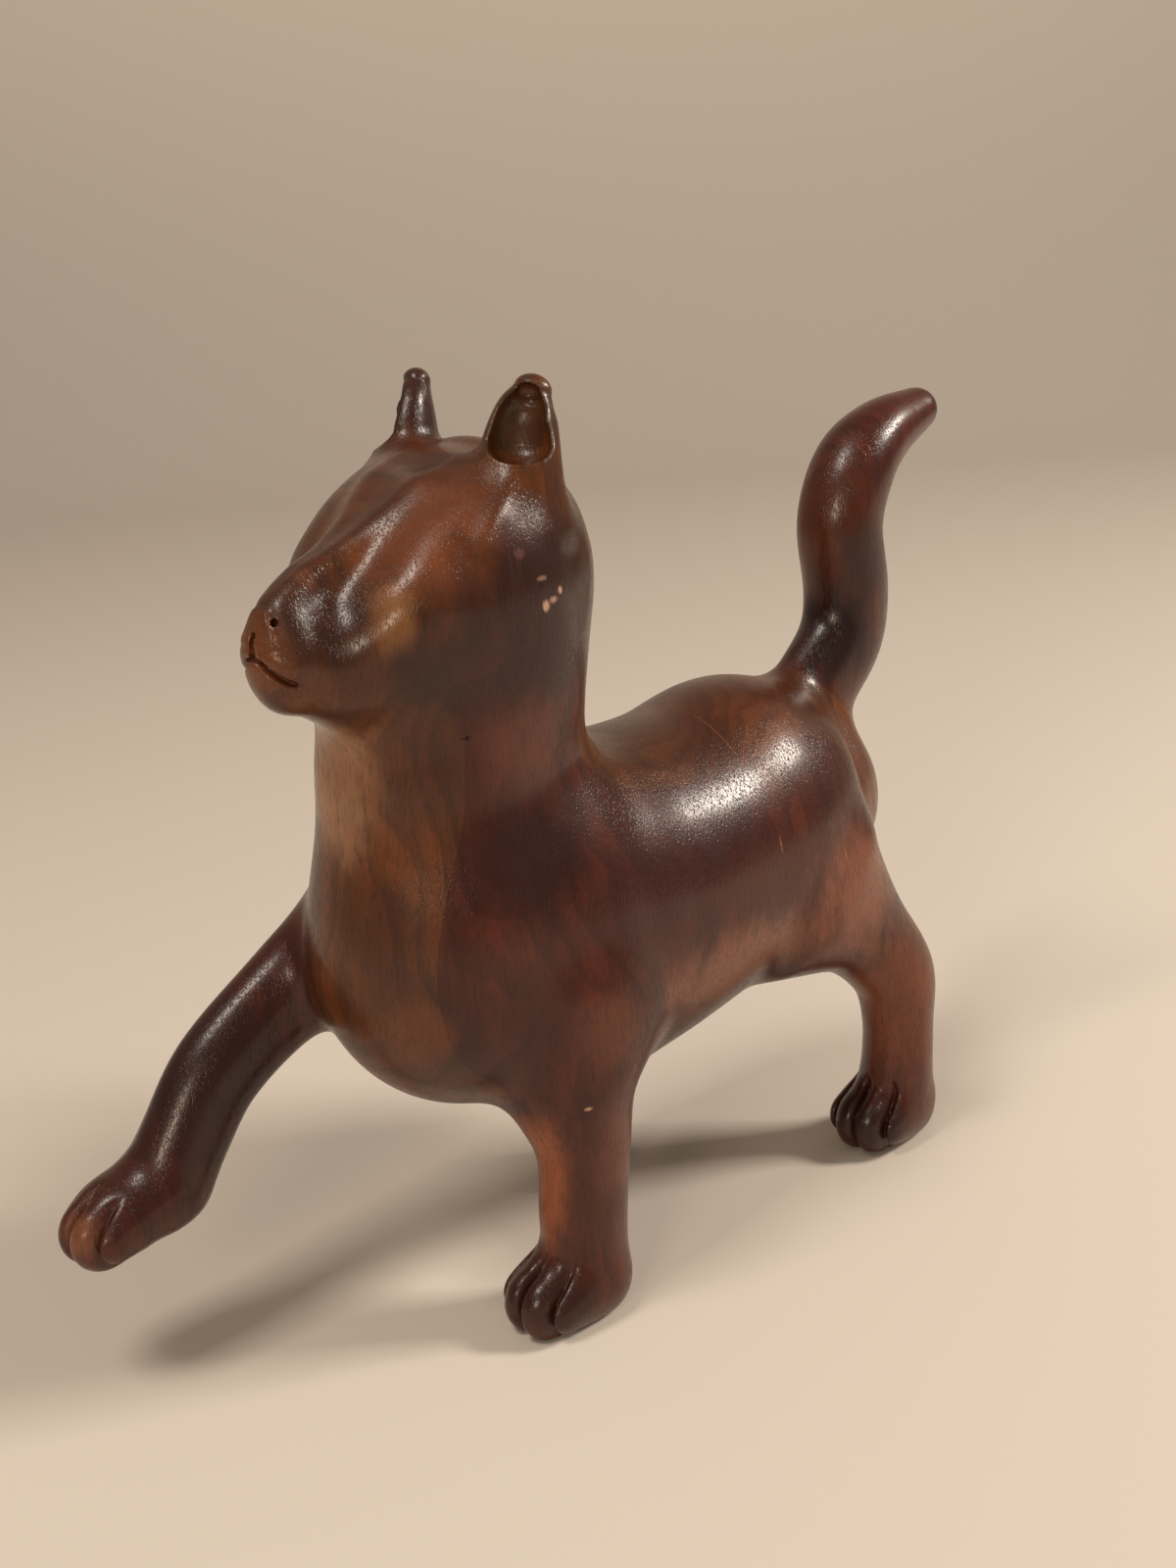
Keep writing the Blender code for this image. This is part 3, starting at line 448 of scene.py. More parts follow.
def carve_face(d, p):
    """Ridges are raised along their lines, hollows are sunk, and the openings are cut."""
    q = head_space(p)
    d = blend(d, ear_form(q), EAR_BLEND)
    near = np.flatnonzero((q[:, 1] < -8) & (q[:, 2] > 118) & (np.abs(d) < 8))
    v, r = d[near], q[near]
    for line, rise, reach in FACE_LINES:
        v = v - rise * swell(line(r), reach)
    half = PAD_TOP_HALF + (PAD_TOP - r[:, 2]) * PAD_SLOPE
    pad = ease(half - r[:, 0], -0.35, 0.35) * ease(r[:, 2], PAD_FOOT - 0.9, PAD_FOOT + 0.9)
    pad *= ease(PAD_TOP - r[:, 2], -0.5, 0.8) * ease(-r[:, 1], 62, 64)
    v = v - PAD_RISE * pad
    v = carve(v, NOSTRIL(r) - NOSTRIL_RADIUS, 0.45)
    v = carve(v, PHILTRUM(r) - PHILTRUM_RADIUS, 0.5)
    v = carve(v, MOUTH(r), CARVED_EDGE)
    v = carve(v, cup_form(r), CARVED_EDGE)
    d = d.copy()
    d[near] = v
    return d


def carve_paws(d, p):
    """Each paw's front is parted into toes by grooves, deep and narrow with wide shoulders."""
    d = d.copy()
    for paw in PAWS.values():
        q = paw.local(p)
        near = np.flatnonzero((np.abs(q[:, 0]) < 14) & (np.abs(q[:, 1] + 6) < 16) & (np.abs(q[:, 2]) < 12))
        across, back = q[near, 0], q[near, 1]
        fade = ease(-back, 0.5, 9.0) * ease(-q[near, 2], -11.0, -7.0)
        cut = np.zeros(len(near))
        for line in TOE_GROOVES:
            off = np.abs(across - line * (1 + TOE_SPREAD * ease(-back, 4, TOE_REACH)))
            cut += GROOVE_DEPTH * np.exp(-(off / GROOVE_HALF) ** 1.5) + 0.55 * swell(off, 1.9)
        d[near] += cut * fade
    return d


def figure(p):
    """The whole carved figure, flat where it stands."""
    d = rubbed(p)
    d = carve_face(d, p)
    d = carve_paws(d, p)
    return carve(d, p[:, 2], SOLE_EDGE)


# Joints: each piece is the figure inside its own room

ROOM_FULLNESS = 1.3
JOINT_SHARES = {"left_foreleg": 0.21, "left_hind_leg": 0.17, "right_hind_leg": 0.22, "right_foreleg": 0.19,
                "tail": 0.14}
JOINT_FACES = {"left_foreleg": (0.35, 0.0, -0.94), "left_hind_leg": (0.25, 0.35, -0.90),
               "right_hind_leg": (-0.30, -0.25, -0.92), "right_foreleg": (-0.68, -0.70, -0.15),
               "tail": (0.0, 0.69, 0.72)}
HEAD_BACK = NECK_BASE[1] + NECK_DEPTH


def limb_room(name):
    """The room of a limb: a fuller copy of the limb beyond its joint face, with its paw's."""
    table = smooth_rows(LIMBS[name], 4)
    first = round(JOINT_SHARES[name] * (len(table) - 1))
    fuller = table[first:] * (1, 1, 1, ROOM_FULLNESS, ROOM_FULLNESS)
    shells = [Loft(fuller, steps=1)]
    if name in PAWS:
        shells.append(Loft(PAWS[name].stations * (1, 1, 1, 1.5, 1.5)))
    seat = table[first, :3]
    normal = np.array(JOINT_FACES[name])
    normal = normal / np.linalg.norm(normal)

    def room(p):
        shell = np.minimum.reduce([one(p) for one in shells])
        return np.maximum(shell, (seat - p) @ normal)
    return room


def head_room(p):
    """Above the joint face under the jaw, and in front of the tail."""
    floor = NECK_BASE[2] + HEAD_JOINT_RISE + HEAD_JOINT_SLOPE * (p[:, 1] - NECK_BASE[1])
    return np.maximum((floor - p[:, 2]) / math.hypot(1, HEAD_JOINT_SLOPE), p[:, 1] - HEAD_BACK)


class Rod:
    """Distance to the hole of a dowel: the dowel's own axis, length and radius, and a little play."""

    def __init__(self, node, play=0.3):
        points = np.zeros(len(node.data.vertices) * 3)
        node.data.vertices.foreach_get("co", points)
        points = points.reshape(-1, 3) / MM
        self.centre = points.mean(0)
        off = points - self.centre
        self.axis = np.linalg.svd(off, full_matrices=False)[2][0]
        along = off @ self.axis
        self.half = np.abs(along).max() + play
        self.radius = np.linalg.norm(off - along[:, None] * self.axis, axis=1).max() + play

    def __call__(self, p):
        off = p - self.centre
        along = off @ self.axis
        across = np.sqrt(np.clip((off ** 2).sum(1) - along ** 2, 0, None))
        return np.maximum(across - self.radius, np.abs(along) - self.half)


limb_rooms = {name: limb_room(name) for name in LIMBS}
dowel_names = [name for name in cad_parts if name.endswith("dowel")]
holes = [Rod(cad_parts[name]) for name in dowel_names]


def drilled(room):
    """A room without the dowel holes that open into it."""
    return lambda p: np.maximum.reduce([room(p)] + [-hole(p) for hole in holes])


def board_room(low, high):
    """An upright slice of the body, without the head and the limbs."""
    def room(p):
        others = [-head_room(p)] + [-one(p) for one in limb_rooms.values()]
        return np.maximum.reduce([low - p[:, 0], p[:, 0] - high] + others)
    return room


# Surfaces from fields

# A cell's corners, and the pairs of corners that its edges join
CORNERS = np.array([(0, 0, 0), (1, 0, 0), (0, 1, 0), (1, 1, 0), (0, 0, 1), (1, 0, 1), (0, 1, 1), (1, 1, 1)])
CELL_EDGES = ((0, 1), (2, 3), (4, 5), (6, 7), (0, 2), (1, 3),
              (4, 6), (5, 7), (0, 4), (1, 5), (2, 6), (3, 7))

# The fields are worked out on a coarse grid, and finely only within a band round the surface
COARSENESS, BAND = 4, 3.2
GRID_MARGIN = 5.1
TETRAHEDRON = np.array([(1, 1, 1), (1, -1, -1), (-1, 1, -1), (-1, -1, 1)])


def stretched(values, factor):
    """A grid read between its nodes: factor steps for each one, by straight lines along each axis."""
    t = np.arange(factor) / factor
    for axis in range(3):
        values = np.moveaxis(values, axis, -1)
        low, high = values[..., :-1, None], values[..., 1:, None]
        inner = (low * (1 - t) + high * t).reshape(*values.shape[:-1], -1)
        values = np.moveaxis(np.concatenate([inner, values[..., -1:]], -1), -1, axis)
    return values


def slope(field, p, reach=0.2):
    """Gradient of a field from its values at the corners of a small tetrahedron."""
    return sum(field(p + reach * corner)[:, None] * corner for corner in TETRAHEDRON) / (4 * reach)


def onto(field, p, gradient):
    """One step from points to the zero of a field."""
    size = np.clip((gradient ** 2).sum(1), 0.05, None)
    return p - (field(p) / size)[:, None] * gradient


def net(skin, room, low, high, step):
    """Closed surface of what lies in both fields.

    A grid cell that the surface crosses holds one point, at the mean of its edges' crossings. Points
    of cells that touch an edge of the grid which crosses the surface make a four-sided face. Then the
    points are moved onto the skin, onto the joint face, or onto the line where both meet.
    """
    wide = step * COARSENESS
    counts = np.ceil((high - low) / wide).astype(int) + 1
    fields = [stretched(sample(one, low, counts, wide), COARSENESS) for one in (skin, room)]
    shape = fields[0].shape
    band = np.argwhere(np.abs(np.maximum(*fields)) < max(BAND, wide))
    points = low + step * band
    for values, one in zip(fields, (skin, room)):
        values[tuple(band.T)] = one(points)
    both = np.maximum(*fields)
    inside = both < 0
    filled = sum(inside[a:shape[0] - 1 + a, b:shape[1] - 1 + b, c:shape[2] - 1 + c].astype(np.int8)
                 for a, b, c in CORNERS)
    cells = np.argwhere((filled > 0) & (filled < 8))
    number = np.full(np.array(shape) - 1, -1)
    number[tuple(cells.T)] = np.arange(len(cells))

    def at(grid, corner):
        """Values at one corner of every cell."""
        return grid[tuple((cells + CORNERS[corner]).T)]

    place, crossings = np.zeros((len(cells), 3)), np.zeros(len(cells))
    for a, b in CELL_EDGES:
        start, end = at(both, a), at(both, b)
        crossed = (start < 0) != (end < 0)
        t = (start[crossed] / (start[crossed] - end[crossed]))[:, None]
        place[crossed] += CORNERS[a] + (CORNERS[b] - CORNERS[a]) * t
        crossings[crossed] += 1
    place = low + step * (cells + place / crossings[:, None])

    quads = []
    for axis in range(3):
        first, second = (k for k in range(3) if k != axis)
        here, there = [slice(None)] * 3, [slice(None)] * 3
        here[axis], there[axis] = slice(0, -1), slice(1, None)
        crossed = np.argwhere(inside[tuple(here)] != inside[tuple(there)])
        kept = np.all((crossed[:, [first, second]] > 0)
                      & (crossed[:, [first, second]] < np.array(shape)[[first, second]] - 1), axis=1)
        crossed = crossed[kept]
        u, w = np.eye(3, dtype=int)[[first, second]]
        ring = np.stack([number[tuple((crossed - move).T)] for move in (u + w, w, 0 * u, u)], 1)
        turn = inside[tuple(crossed.T)] != (axis == 1)
        ring[~turn] = ring[~turn][:, ::-1]
        quads.append(ring)

    mixed = []
    for grid in fields:
        signs = sum((at(grid, corner) < 0).astype(int) for corner in range(8))
        mixed.append((signs > 0) & (signs < 8))
    on_skin = mixed[0] & (~mixed[1] | (np.abs(skin(place)) <= np.abs(room(place))))
    for one, chosen in ((skin, on_skin), (room, ~on_skin)):
        spots = place[chosen]
        gradient = slope(one, spots)
        for _ in range(2):
            spots = onto(one, spots, gradient)
        place[chosen] = spots
    rim = np.flatnonzero(mixed[0] & mixed[1])
    place[rim], held = onto_both(skin, room, place[rim], step)
    return place, np.vstack(quads), on_skin, rim[held]


def onto_both(skin, room, p, step):
    """Points moved to the line where both fields are zero, unless that is too far off."""
    q = p.copy()
    for _ in range(4):
        a, b = slope(skin, q), slope(room, q)
        f, g = skin(q), room(q)
        aa, bb, ab = (a * a).sum(1), (b * b).sum(1), (a * b).sum(1)
        det = np.clip(aa * bb - ab * ab, 0.02, None)
        q = q - ((f * bb - g * ab) / det)[:, None] * a - ((g * aa - f * ab) / det)[:, None] * b
    held = np.linalg.norm(q - p, axis=1) < 1.2 * step
    return np.where(held[:, None], q, p), held


def make_piece(name, room, step, finish):
    """One piece of the cat: its mesh, with the skin's own normals so that no joint shows, and its wood."""
    corners = np.array(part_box(name)) / MM
    place, quads, on_skin, rim = net(figure, room, corners[0] - GRID_MARGIN, corners[1] + GRID_MARGIN, step)
    skin_point = on_skin.copy()
    skin_point[rim] = True
    skin_face = skin_point[quads].all(1)

    mesh = bpy.data.meshes.new(name)
    mesh.from_pydata(place * MM, [], quads)
    mesh.update(calc_edges=True)
    mesh.shade_smooth()
    normals = slope(figure, place)
    normals /= np.linalg.norm(normals, axis=1)[:, None] + 1e-9
    flat = np.cross(place[quads[:, 2]] - place[quads[:, 0]], place[quads[:, 3]] - place[quads[:, 1]])
    flat /= np.linalg.norm(flat, axis=1)[:, None] + 1e-9
    loops = np.where(skin_face[:, None, None], normals[quads], flat[:, None, :])
    mesh.normals_split_custom_set(loops.reshape(-1, 3))
    made = bpy.data.objects.new(name + "_carved", mesh)
    bpy.context.scene.collection.objects.link(made)
    made.data.materials.append(finish)
    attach(made, "root")
    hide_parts(name)
    return made


# Finishes

def srgb(code):
    """A colour written as an sRGB hex value, turned to linear light."""
    parts = [int(code[k:k + 2], 16) / 255 for k in (1, 3, 5)]
    return [v / 12.92 if v <= 0.04045 else ((v + 0.055) / 1.055) ** 2.4 for v in parts] + [1.0]


def add(tree, kind, inputs=(), **settings):
    """Adds a node. An input is a socket to link from, or a value."""
    made = tree.nodes.new(kind)
    for key, value in settings.items():
        setattr(made, key, value)
    for key, value in dict(inputs).items():
        if isinstance(value, bpy.types.NodeSocket):
            tree.links.new(value, made.inputs[key])
        else:
            made.inputs[key].default_value = value
    return made


class Grain:
    """The node tree of one finish, with patterns on Object coordinates in millimetres."""

    def __init__(self, name):
        self.material = bpy.data.materials.new(name)
        self.material.use_nodes = True
        self.tree = self.material.node_tree
        self.shader = self.tree.nodes["Principled BSDF"]
        place = add(self.tree, "ShaderNodeTexCoord").outputs["Object"]
        self.place = add(self.tree, "ShaderNodeMapping", {0: place, "Scale": (1 / MM,) * 3}).outputs[0]

    def math(self, operation, *values):
        """Sum or other plain reckoning on sockets and numbers."""
        return add(self.tree, "ShaderNodeMath", enumerate(values), operation=operation).outputs[0]

    def noise(self, size, detail=2.0, roughness=0.5):
        """Noise whose features are about the given size in millimetres, across x, y and z."""
        scale = tuple(1 / s for s in size)
        spot = add(self.tree, "ShaderNodeMapping", {0: self.place, "Scale": scale}).outputs[0]
        return add(self.tree, "ShaderNodeTexNoise", {"Vector": spot, "Scale": 1.0, "Detail": detail,
                                                     "Roughness": roughness}).outputs[0]

    def spread(self, value, low, high, to_low=0.0, to_high=1.0):
        """A value eased from one range to another."""
        return add(self.tree, "ShaderNodeMapRange", {0: value, 1: low, 2: high, 3: to_low, 4: to_high},
                   interpolation_type="SMOOTHSTEP").outputs[0]

    def spot(self, centre, reach, stretch, ragged):
        """1 near a point and 0 past the reach, with an edge made ragged by a noise."""
        off = add(self.tree, "ShaderNodeVectorMath", {0: self.place, 1: centre},
                  operation="SUBTRACT").outputs[0]
        off = add(self.tree, "ShaderNodeVectorMath", {0: off, 1: tuple(1 / s for s in stretch)},
                  operation="MULTIPLY").outputs[0]
        far = add(self.tree, "ShaderNodeVectorMath", {0: off}, operation="LENGTH").outputs["Value"]
        far = self.math("MULTIPLY_ADD", ragged, 0.9 * reach, far)
        return self.spread(far, 0.75 * reach, 1.5 * reach, 1.0, 0.0)

    def mix(self, share, first, second):
        """Colour between two: each is a hex value or a socket."""
        first, second = (srgb(c) if isinstance(c, str) else c for c in (first, second))
        return add(self.tree, "ShaderNodeMix", {0: share, 6: first, 7: second}, data_type="RGBA").outputs[2]

    def shade(self, share, colour, factor):
        """A colour darkened or lightened by a factor where the share is 1."""
        return add(self.tree, "ShaderNodeMix", {0: share, 6: colour, 7: (factor, factor, factor, 1)},
                   data_type="RGBA", blend_type="MULTIPLY").outputs[2]


# Mahogany's pores are about 0.2 mm across, which is too fine to show, so they are drawn at 0.36 mm
PORE_ACROSS, PORE_ALONG, PORE_DEPTH = 0.36, 2.8, 0.12
RING_SPACING = 4.6
PITH = (-9.0, 8.0, 60.0)

# Tones of the stained wood: light, middle and dark
GOLDEN = ("#6b3916", "#4e2810", "#2b1508")
RED = ("#592515", "#43180c", "#240a05")
END_GRAIN = "#43180d"

# Places that are painted lighter or darker: centre, reach, stretch, tint and strength. Each tint was chosen
# for its place, and where a tint is painted light or shade, the heading of its places says so
TONES_AND_PAINTED_LIGHT = (
    # Face: its wide plane, painted shade in the groove beside the bridge, a painted highlight on the cheek,
    # painted shade on the muzzle's side, and the chin
    ((18, -42, 157), 15, (1, 1.3, 1.1), "#7e431f", 0.85),
    ((8, -44, 159), 6, (1, 1.6, 1), "#3a1b10", 0.7),
    ((19.5, -54, 144), 5.5, (1, 1, 1.5), "#8a5c33", 0.8),
    ((12, -63, 144), 12, (1, 1, 1), "#2b110a", 0.9),
    ((6, -72, 139), 7, (1, 1, 1.2), "#6c3c20", 0.7),
    # Painted shade on the side of the head and under the jaw, the cup of the near ear, and painted shade on
    # the far ear
    ((27, -27, 142), 27, (0.7, 0.9, 1.0), "#2a0d08", 0.95),
    ((21, -50, 133), 9, (1, 1, 1), "#34170c", 0.7),
    ((20, -24, 172), 11, (1, 1, 1), "#38230d", 0.95),
    ((-15, -20, 172), 12, (1, 1, 1), "#30160f", 0.95),
    # Neck: a painted sheen on its front, painted shade beside it under the jaw, and its side
    ((0, -57, 114), 14, (1, 1, 1.4), "#a67a59", 0.8),
    ((16, -48, 114), 9, (1, 1, 1.6), "#3c1c0f", 0.6),
    ((23, -30, 117), 9, (1, 1, 1.4), "#663828", 0.6),
    # Shoulder, and the chest below it
    ((26, -32, 97), 18, (0.8, 1, 1), "#2a0f0a", 0.85),
    ((15, -55, 67), 10, (1, 1, 1), "#6e3c1f", 0.6),
    ((29, -34, 71), 10, (1, 1, 1), "#40190e", 0.6),
    ((33, -24, 62), 10, (1, 1, 1), "#653621", 0.7),
    # Flank, and painted light on the belly and the thigh, for the floor's bounce and the lacquer's sheen
    ((29, 2, 85), 22, (0.7, 1.4, 0.8), "#340f09", 0.85),
    ((29, 27, 78), 15, (0.7, 1.4, 0.6), "#4a2012", 0.7),
    ((29, 16, 61), 17, (0.7, 1.7, 0.7), "#85533b", 0.8),
    ((30, 50, 67), 18, (0.8, 0.9, 1), "#8b5742", 0.75),
    # Left hind leg and its paw
    ((28, 62, 36), 16, (1, 1, 1.5), "#7a4126", 0.8),
    ((23, 57, 9), 12, (1, 1, 0.8), "#240f0a", 0.9),
    # Left foreleg: its front, middle and outer side, and its paw
    ((22, -33, 34), 10, (0.7, 0.6, 2), "#8f4c25", 0.9),
    ((29, -28, 29), 8, (0.7, 0.7, 1.6), "#43200e", 0.8),
    ((31, -21, 36), 9, (0.8, 1, 1.6), "#683c2d", 0.7),
    ((24, -36, 8), 13, (1.2, 1, 0.7), "#28120a", 0.85),
    # Raised foreleg and the tips of its toes
    ((-18, -78, 58), 28, (1, 1, 1), "#2a1009", 0.9),
    ((-21, -108, 36), 6, (1, 1, 1), "#8a5638", 0.6),
    # Tail: painted shade in the crease where it rises from the rump, then further up it; and the rump
    ((5, 71, 113), 16, (1, 1, 1), "#170504", 0.95),
    ((4, 72, 140), 13, (1, 1, 1.3), "#4c220d", 0.8),
    ((9, 79, 129), 9, (1, 1, 1.3), "#220a06", 0.8),
    ((12, 66, 89), 11, (1, 1, 1), "#6e473c", 0.5),
)

# Wear that shows, in the same terms: chips on the head and on the foreleg, scratches on the back and the
# flank, and one dark crack across the raised foreleg
MARKS = (
    ((27.5, -23.7, 143.9), 0.9, (1, 0.8, 1.0), "#c49c84", 0.9),
    ((27.6, -25.6, 142.6), 1.0, (1, 1.3, 0.8), "#b08a76", 0.8),
    ((27.8, -27.4, 141.8), 1.1, (1, 0.9, 1.2), "#c49c84", 0.9),
    ((27.6, -27.7, 146.7), 1.0, (1, 1.3, 0.6), "#9a7464", 0.7),
    ((26.6, -31.4, 151.5), 1.4, (1, 1, 1), "#6d4a42", 0.5),
    ((31.0, -28.6, 47.6), 0.8, (1, 1.3, 0.7), "#c09378", 0.9),
    ((12.5, 26.6, 102), 1.2, (8, 0.16, 9), "#7a4c3a", 0.7),
    ((28.4, 27.9, 83), 1.2, (3, 0.22, 2), "#8f5a40", 0.8),
    ((28.7, 46.5, 75.5), 1.2, (3, 0.24, 1.6), "#8f5a40", 0.8),
    ((-15.8, -77.2, 52.2), 1.2, (4, 3.2, 0.25), "#180805", 0.9),
)


def lacquered_mahogany(name, tones, reaches, side_tones=None):
    """Mahogany, carved along its grain, stained red-brown, rubbed and lacquered to a satin gloss.

    Growth rings are long shells round an upright pith, which wander. They give the cheeks and the chest
    their nested arcs. Pores are short upright dashes, and show as dots where the end grain faces up,
    which also drinks more stain and is darker and redder there. The rings run on from piece to piece,
    and the boards differ in tone. The foot of the head has the tones of the side boards on both sides of
    the middle board. Reaches says which patches and marks can lie on the pieces of this wood.
    """
    g = Grain(name)
    wander = g.noise((26, 26, 60), 2.0)
    ripple = g.noise((6, 6, 22), 2.0)
    off = add(g.tree, "ShaderNodeVectorMath", {0: g.place, 1: PITH}, operation="SUBTRACT").outputs[0]
    off = add(g.tree, "ShaderNodeVectorMath", {0: off, 1: (1, 1, 0.16)}, operation="MULTIPLY").outputs[0]
    radius = add(g.tree, "ShaderNodeVectorMath", {0: off}, operation="LENGTH").outputs["Value"]
    radius = g.math("MULTIPLY_ADD", wander, 30.0, radius)
    radius = g.math("MULTIPLY_ADD", ripple, 3.0, radius)
    ring = g.math("FRACT", g.math("DIVIDE", radius, RING_SPACING))
    late = g.math("MULTIPLY", g.spread(ring, 0.25, 0.90), g.spread(ring, 0.90, 1.0, 1.0, 0.0))
    pores = g.spread(g.noise((PORE_ACROSS, PORE_ACROSS, PORE_ALONG), 2.0, 0.6), 0.50, 0.68)
    streaks = g.noise((0.8, 0.8, 11), 3.0, 0.65)
    cloud = g.spread(g.noise((15, 15, 34), 2.0, 0.55), 0.36, 0.64)
    late = g.math("MULTIPLY", late, 0.42)
    streak = g.math("MULTIPLY", g.spread(streaks, 0.45, 0.72), 0.42)

    def wood(light, middle, dark):
        """Three tones, clouded and ringed."""
        return g.mix(streak, g.mix(late, g.mix(cloud, middle, light), dark), dark)

    colour = wood(*tones)
    if side_tones:
        axes = add(g.tree, "ShaderNodeSeparateXYZ", {0: g.place}).outputs
        beside = g.spread(g.math("ABSOLUTE", axes[0]), HALF_CORE - 0.5, HALF_CORE + 0.5)
        beside = g.math("MULTIPLY", beside, g.spread(axes[2], 128, 152, 1.0, 0.0))
        colour = g.mix(beside, colour, wood(*side_tones))
    ragged = g.noise((5, 5, 9), 3.0, 0.6)
    through = g.spread(streaks, 0.75, 0.40, 0.80, 1.0)
    # Tints laid on by place, among them painted light and shade
    for centre, reach, stretch, tint, strength in filter(reaches, TONES_AND_PAINTED_LIGHT):
        share = g.math("MULTIPLY", g.spot(centre, reach, stretch, ragged), strength)
        colour = g.mix(g.math("MULTIPLY", share, through), colour, tint)
    normal = add(g.tree, "ShaderNodeNewGeometry").outputs["Normal"]
    facing = add(g.tree, "ShaderNodeSeparateXYZ", {0: normal})
    end_grain = g.spread(g.math("ABSOLUTE", facing.outputs[2]), 0.55, 0.98)
    colour = g.mix(g.math("MULTIPLY", end_grain, 0.45), colour, END_GRAIN)
    colour = g.shade(g.math("MULTIPLY", pores, 0.55), colour, 0.45)
    speckle = g.noise((0.32, 0.32, 1.5), 2.0, 0.6)
    for centre, reach, stretch, tint, strength in filter(reaches, MARKS):
        share = g.math("MULTIPLY", g.spot(centre, reach, stretch, speckle), strength)
        colour = g.mix(share, colour, tint)
    g.tree.links.new(colour, g.shader.inputs["Base Color"])

    rough = g.spread(g.noise((9, 9, 14), 3.0, 0.6), 0.35, 0.7, 0.30, 0.40)
    rough = g.math("MULTIPLY_ADD", pores, 0.14, rough)
    g.tree.links.new(rough, g.shader.inputs["Roughness"])
    height = g.math("MULTIPLY_ADD", pores, -0.6, g.math("MULTIPLY_ADD", speckle, 0.5,
                                                           g.math("MULTIPLY", streaks, 0.3)))
    bump = add(g.tree, "ShaderNodeBump", {"Height": height, "Strength": 0.40,
                                          "Distance": PORE_DEPTH * MM}).outputs[0]
    g.tree.links.new(bump, g.shader.inputs["Normal"])
    g.tree.links.new(bump, g.shader.inputs["Coat Normal"])
    g.shader.inputs["IOR"].default_value = 1.5
    g.shader.inputs["Specular IOR Level"].default_value = 0.22
    g.shader.inputs["Coat Weight"].default_value = 0.45
    g.shader.inputs["Coat Roughness"].default_value = 0.17
    return g.material


def bare_beech():
    """Beech dowels: pale turned rod, with fine darker flecks along its grain."""
    g = Grain("beech_rod")
    flecks = g.spread(g.noise((0.5, 0.5, 3), 2.0, 0.5), 0.5, 0.7)
    colour = g.mix(g.math("MULTIPLY", flecks, 0.5), "#d9b98c", "#a9804f")
    g.tree.links.new(colour, g.shader.inputs["Base Color"])
    g.shader.inputs["Roughness"].default_value = 0.6
    return g.material


def on_head(patch):
    """Whether a patch can reach the head: it is ahead of the ears' backs and above the chest."""
    return patch[0][1] < 0 and patch[0][2] > 105


def off_head(patch):
    """Whether a patch can reach the other pieces."""
    return patch[0][1] > 0 or patch[0][2] < 125


golden = lacquered_mahogany("golden_mahogany_lacquered", GOLDEN, off_head)
golden_and_red = lacquered_mahogany("golden_mahogany_with_red_sides_lacquered", GOLDEN, on_head, RED)
red = lacquered_mahogany("red_mahogany_lacquered", RED, off_head)
beech = bare_beech()

# Grid steps of the pieces in millimetres, the finest on the face
CORE_STEP, SIDE_STEP, HEAD_STEP, LIMB_STEP = 0.68, 0.6, 0.425, 0.5

make_piece("head", drilled(head_room), HEAD_STEP, golden_and_red)
make_piece("core_board", drilled(board_room(-HALF_CORE, HALF_CORE)), CORE_STEP, golden)
make_piece("left_side_board", drilled(board_room(HALF_CORE, FAR)), SIDE_STEP, red)
make_piece("right_side_board", drilled(board_room(-FAR, -HALF_CORE)), SIDE_STEP, red)
for name, room in limb_rooms.items():
    make_piece(name, drilled(room), LIMB_STEP, red)
for name in dowel_names:
    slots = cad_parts[name].data.materials
    slots.clear()
    slots.append(beech)

# Camera at the photograph's viewpoint, in millimetres and degrees

CAMERA_PLACE = np.array([279.9, -236.0, 213.05])
AZIMUTH, PITCH, ROLL = 49.5, 17.58, -3.88
FILM_HEIGHT, FOCAL_SHARE = 24.0, 1986.0 / 1600.0


def make_camera():
    """A camera that looks along the azimuth, down by the pitch, and is rolled about its view."""
    turn, dip, roll = (math.radians(a) for a in (AZIMUTH, PITCH, ROLL))
    ahead = np.array([-math.sin(turn) * math.cos(dip), math.cos(turn) * math.cos(dip), -math.sin(dip)])
    right = np.array([math.cos(turn), math.sin(turn), 0.0])
    up = np.cross(right, ahead)
    side = right * math.cos(roll) + up * math.sin(roll)
    rise = up * math.cos(roll) - right * math.sin(roll)
    data = bpy.data.cameras.new("camera")
    data.sensor_fit, data.sensor_width, data.lens = "AUTO", FILM_HEIGHT, FILM_HEIGHT * FOCAL_SHARE
    data.clip_start, data.clip_end = 0.01, 20.0
    made = bpy.data.objects.new("camera", data)
    bpy.context.scene.collection.objects.link(made)
    pose = np.eye(4)
    pose[:3, :3] = np.stack([side, rise, -ahead], 1)
    pose[:3, 3] = CAMERA_PLACE * MM
    made.matrix_world = Matrix(pose.tolist())
    bpy.context.scene.camera = made


def softbox(name, azimuth, elevation, distance, size, power, colour):
    """A square area light that faces the cat from an azimuth and an elevation in degrees."""
    a, e = math.radians(azimuth), math.radians(elevation)
    back = np.array([math.sin(a) * math.cos(e), -math.cos(a) * math.cos(e), math.sin(e)])
    data = bpy.data.lights.new(name, "AREA")
    data.shape, data.size, data.energy, data.color = "SQUARE", size, power, srgb(colour)[:3]
    made = bpy.data.objects.new(name, data)
    bpy.context.scene.collection.objects.link(made)
    rise = np.array([0, 0, 1.0]) - back[2] * back
    rise /= np.linalg.norm(rise) + 1e-9
    pose = np.eye(4)
    pose[:3, :3] = np.stack([np.cross(rise, back), rise, back], 1)
    pose[:3, 3] = np.array([0, 0, 0.08]) + distance * back
    made.matrix_world = Matrix(pose.tolist())


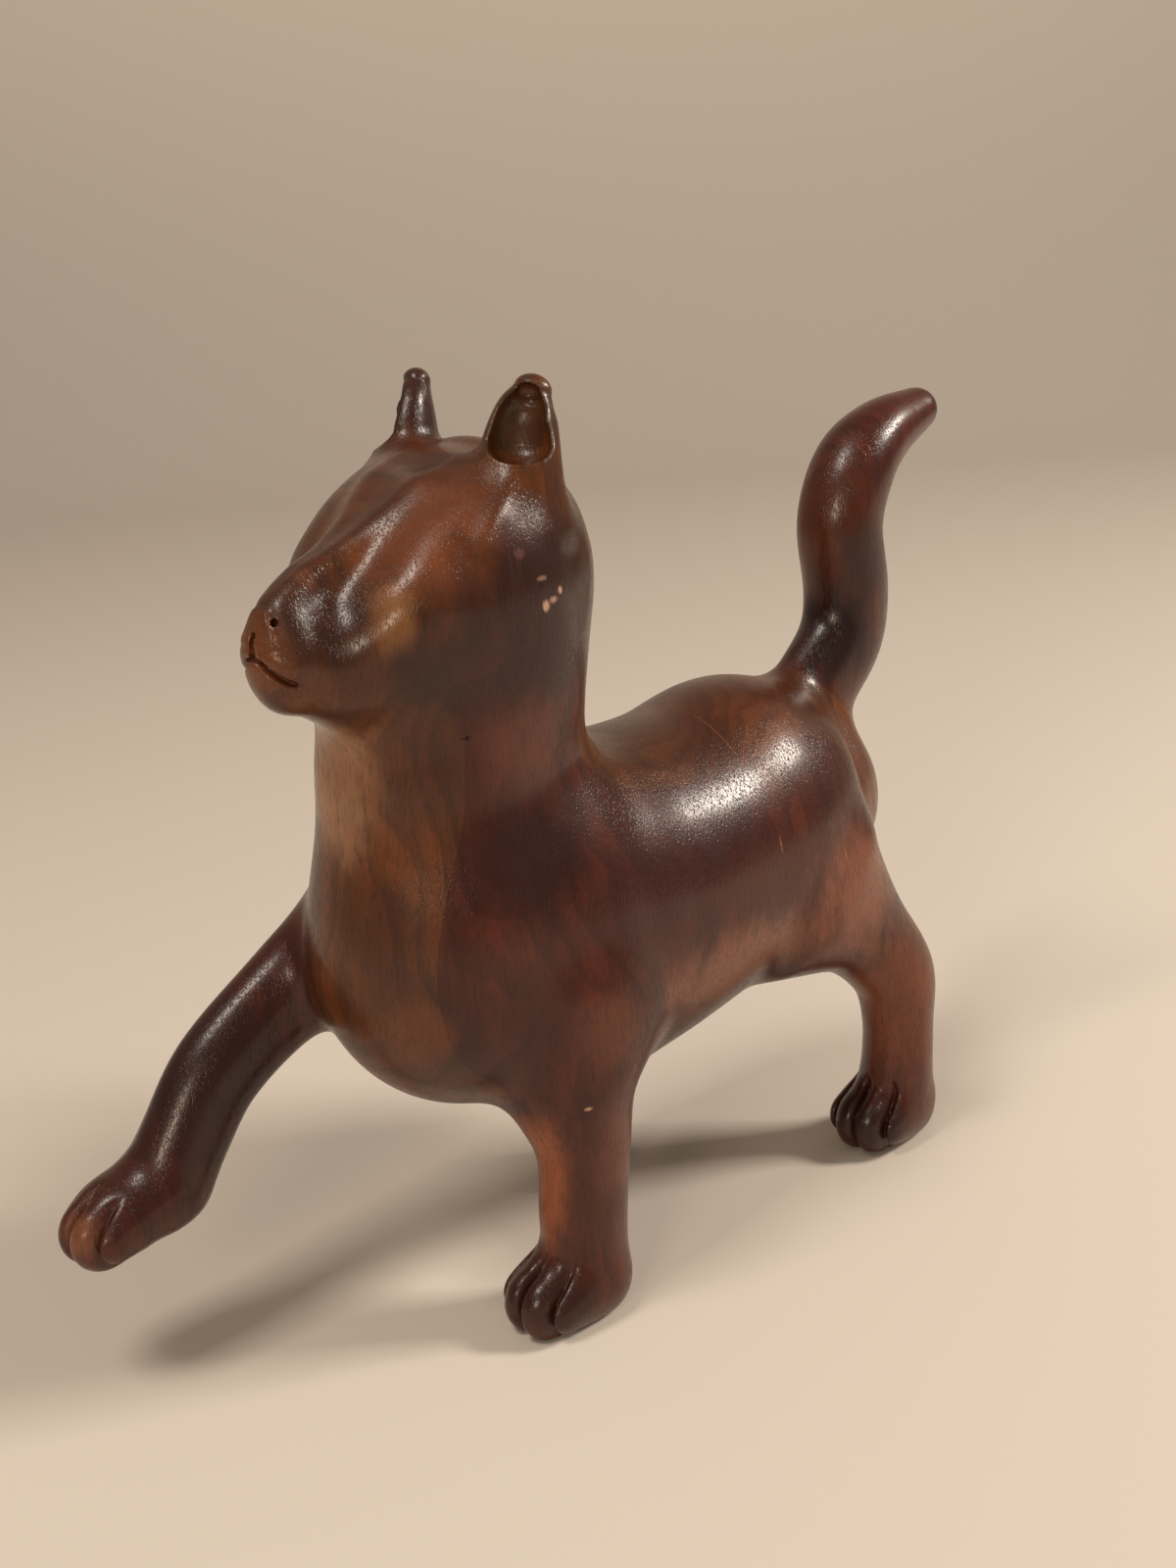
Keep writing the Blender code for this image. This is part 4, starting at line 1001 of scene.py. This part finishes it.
def make_floor():
    """A sweep: a flat floor that turns up into a backdrop far behind the cat, as one sheet.

    Its profile is a line, a quarter circle and a line, carried sideways.
    """
    front, back, bend, top, half = -1.6, 1.0, 0.5, 2.2, 3.0
    angle = np.linspace(0, math.pi / 2, 24)
    reach = np.concatenate([[front, 0.0], back + bend * np.sin(angle), [back + bend]])
    rise = np.concatenate([[0.0, 0.0], bend * (1 - np.cos(angle)), [top]])
    across = np.linspace(-half, half, 3)
    turn = math.radians(AZIMUTH)
    ahead, side = np.array([-math.sin(turn), math.cos(turn)]), np.array([math.cos(turn), math.sin(turn)])
    plan = reach[:, None, None] * ahead + across[None, :, None] * side
    points = np.concatenate([plan, np.broadcast_to(rise[:, None, None], (*plan.shape[:2], 1))], -1)
    rows, columns = points.shape[:2]
    k = (np.arange(rows - 1)[:, None] * columns + np.arange(columns - 1)).ravel()
    faces = np.stack([k, k + 1, k + columns + 1, k + columns], 1)
    mesh = bpy.data.meshes.new("sweep")
    mesh.from_pydata(points.reshape(-1, 3), [], faces)
    mesh.shade_smooth()
    made = bpy.data.objects.new("sweep", mesh)
    bpy.context.scene.collection.objects.link(made)
    # Matt paper, a little paler where it stands up, because less light falls there
    paper = Grain("pale_matt_paper")
    height = add(paper.tree, "ShaderNodeSeparateXYZ", {0: paper.place}).outputs[2]
    colour = paper.mix(paper.spread(height, 0.0, 700.0), "#d8cec3", "#fbf1e4")
    paper.tree.links.new(colour, paper.shader.inputs["Base Color"])
    paper.shader.inputs["Roughness"].default_value = 0.9
    paper.shader.inputs["Specular IOR Level"].default_value = 0.1
    mesh.materials.append(paper.material)


make_camera()
make_floor()
softbox("key", 142, 36, 1.2, 0.24, 11.0, "#fff4e6")
softbox("overhead", 5, 62, 1.2, 0.36, 6.0, "#fff4e6")
softbox("front", 30, 20, 1.2, 0.30, 3.4, "#ffe9cf")

world = bpy.data.worlds.new("pale_room")
bpy.context.scene.world = world
world.use_nodes = True
world.node_tree.nodes["Background"].inputs[0].default_value = srgb("#d9cfc4")
world.node_tree.nodes["Background"].inputs[1].default_value = 0.32
bpy.context.scene.view_settings.view_transform = "Standard"
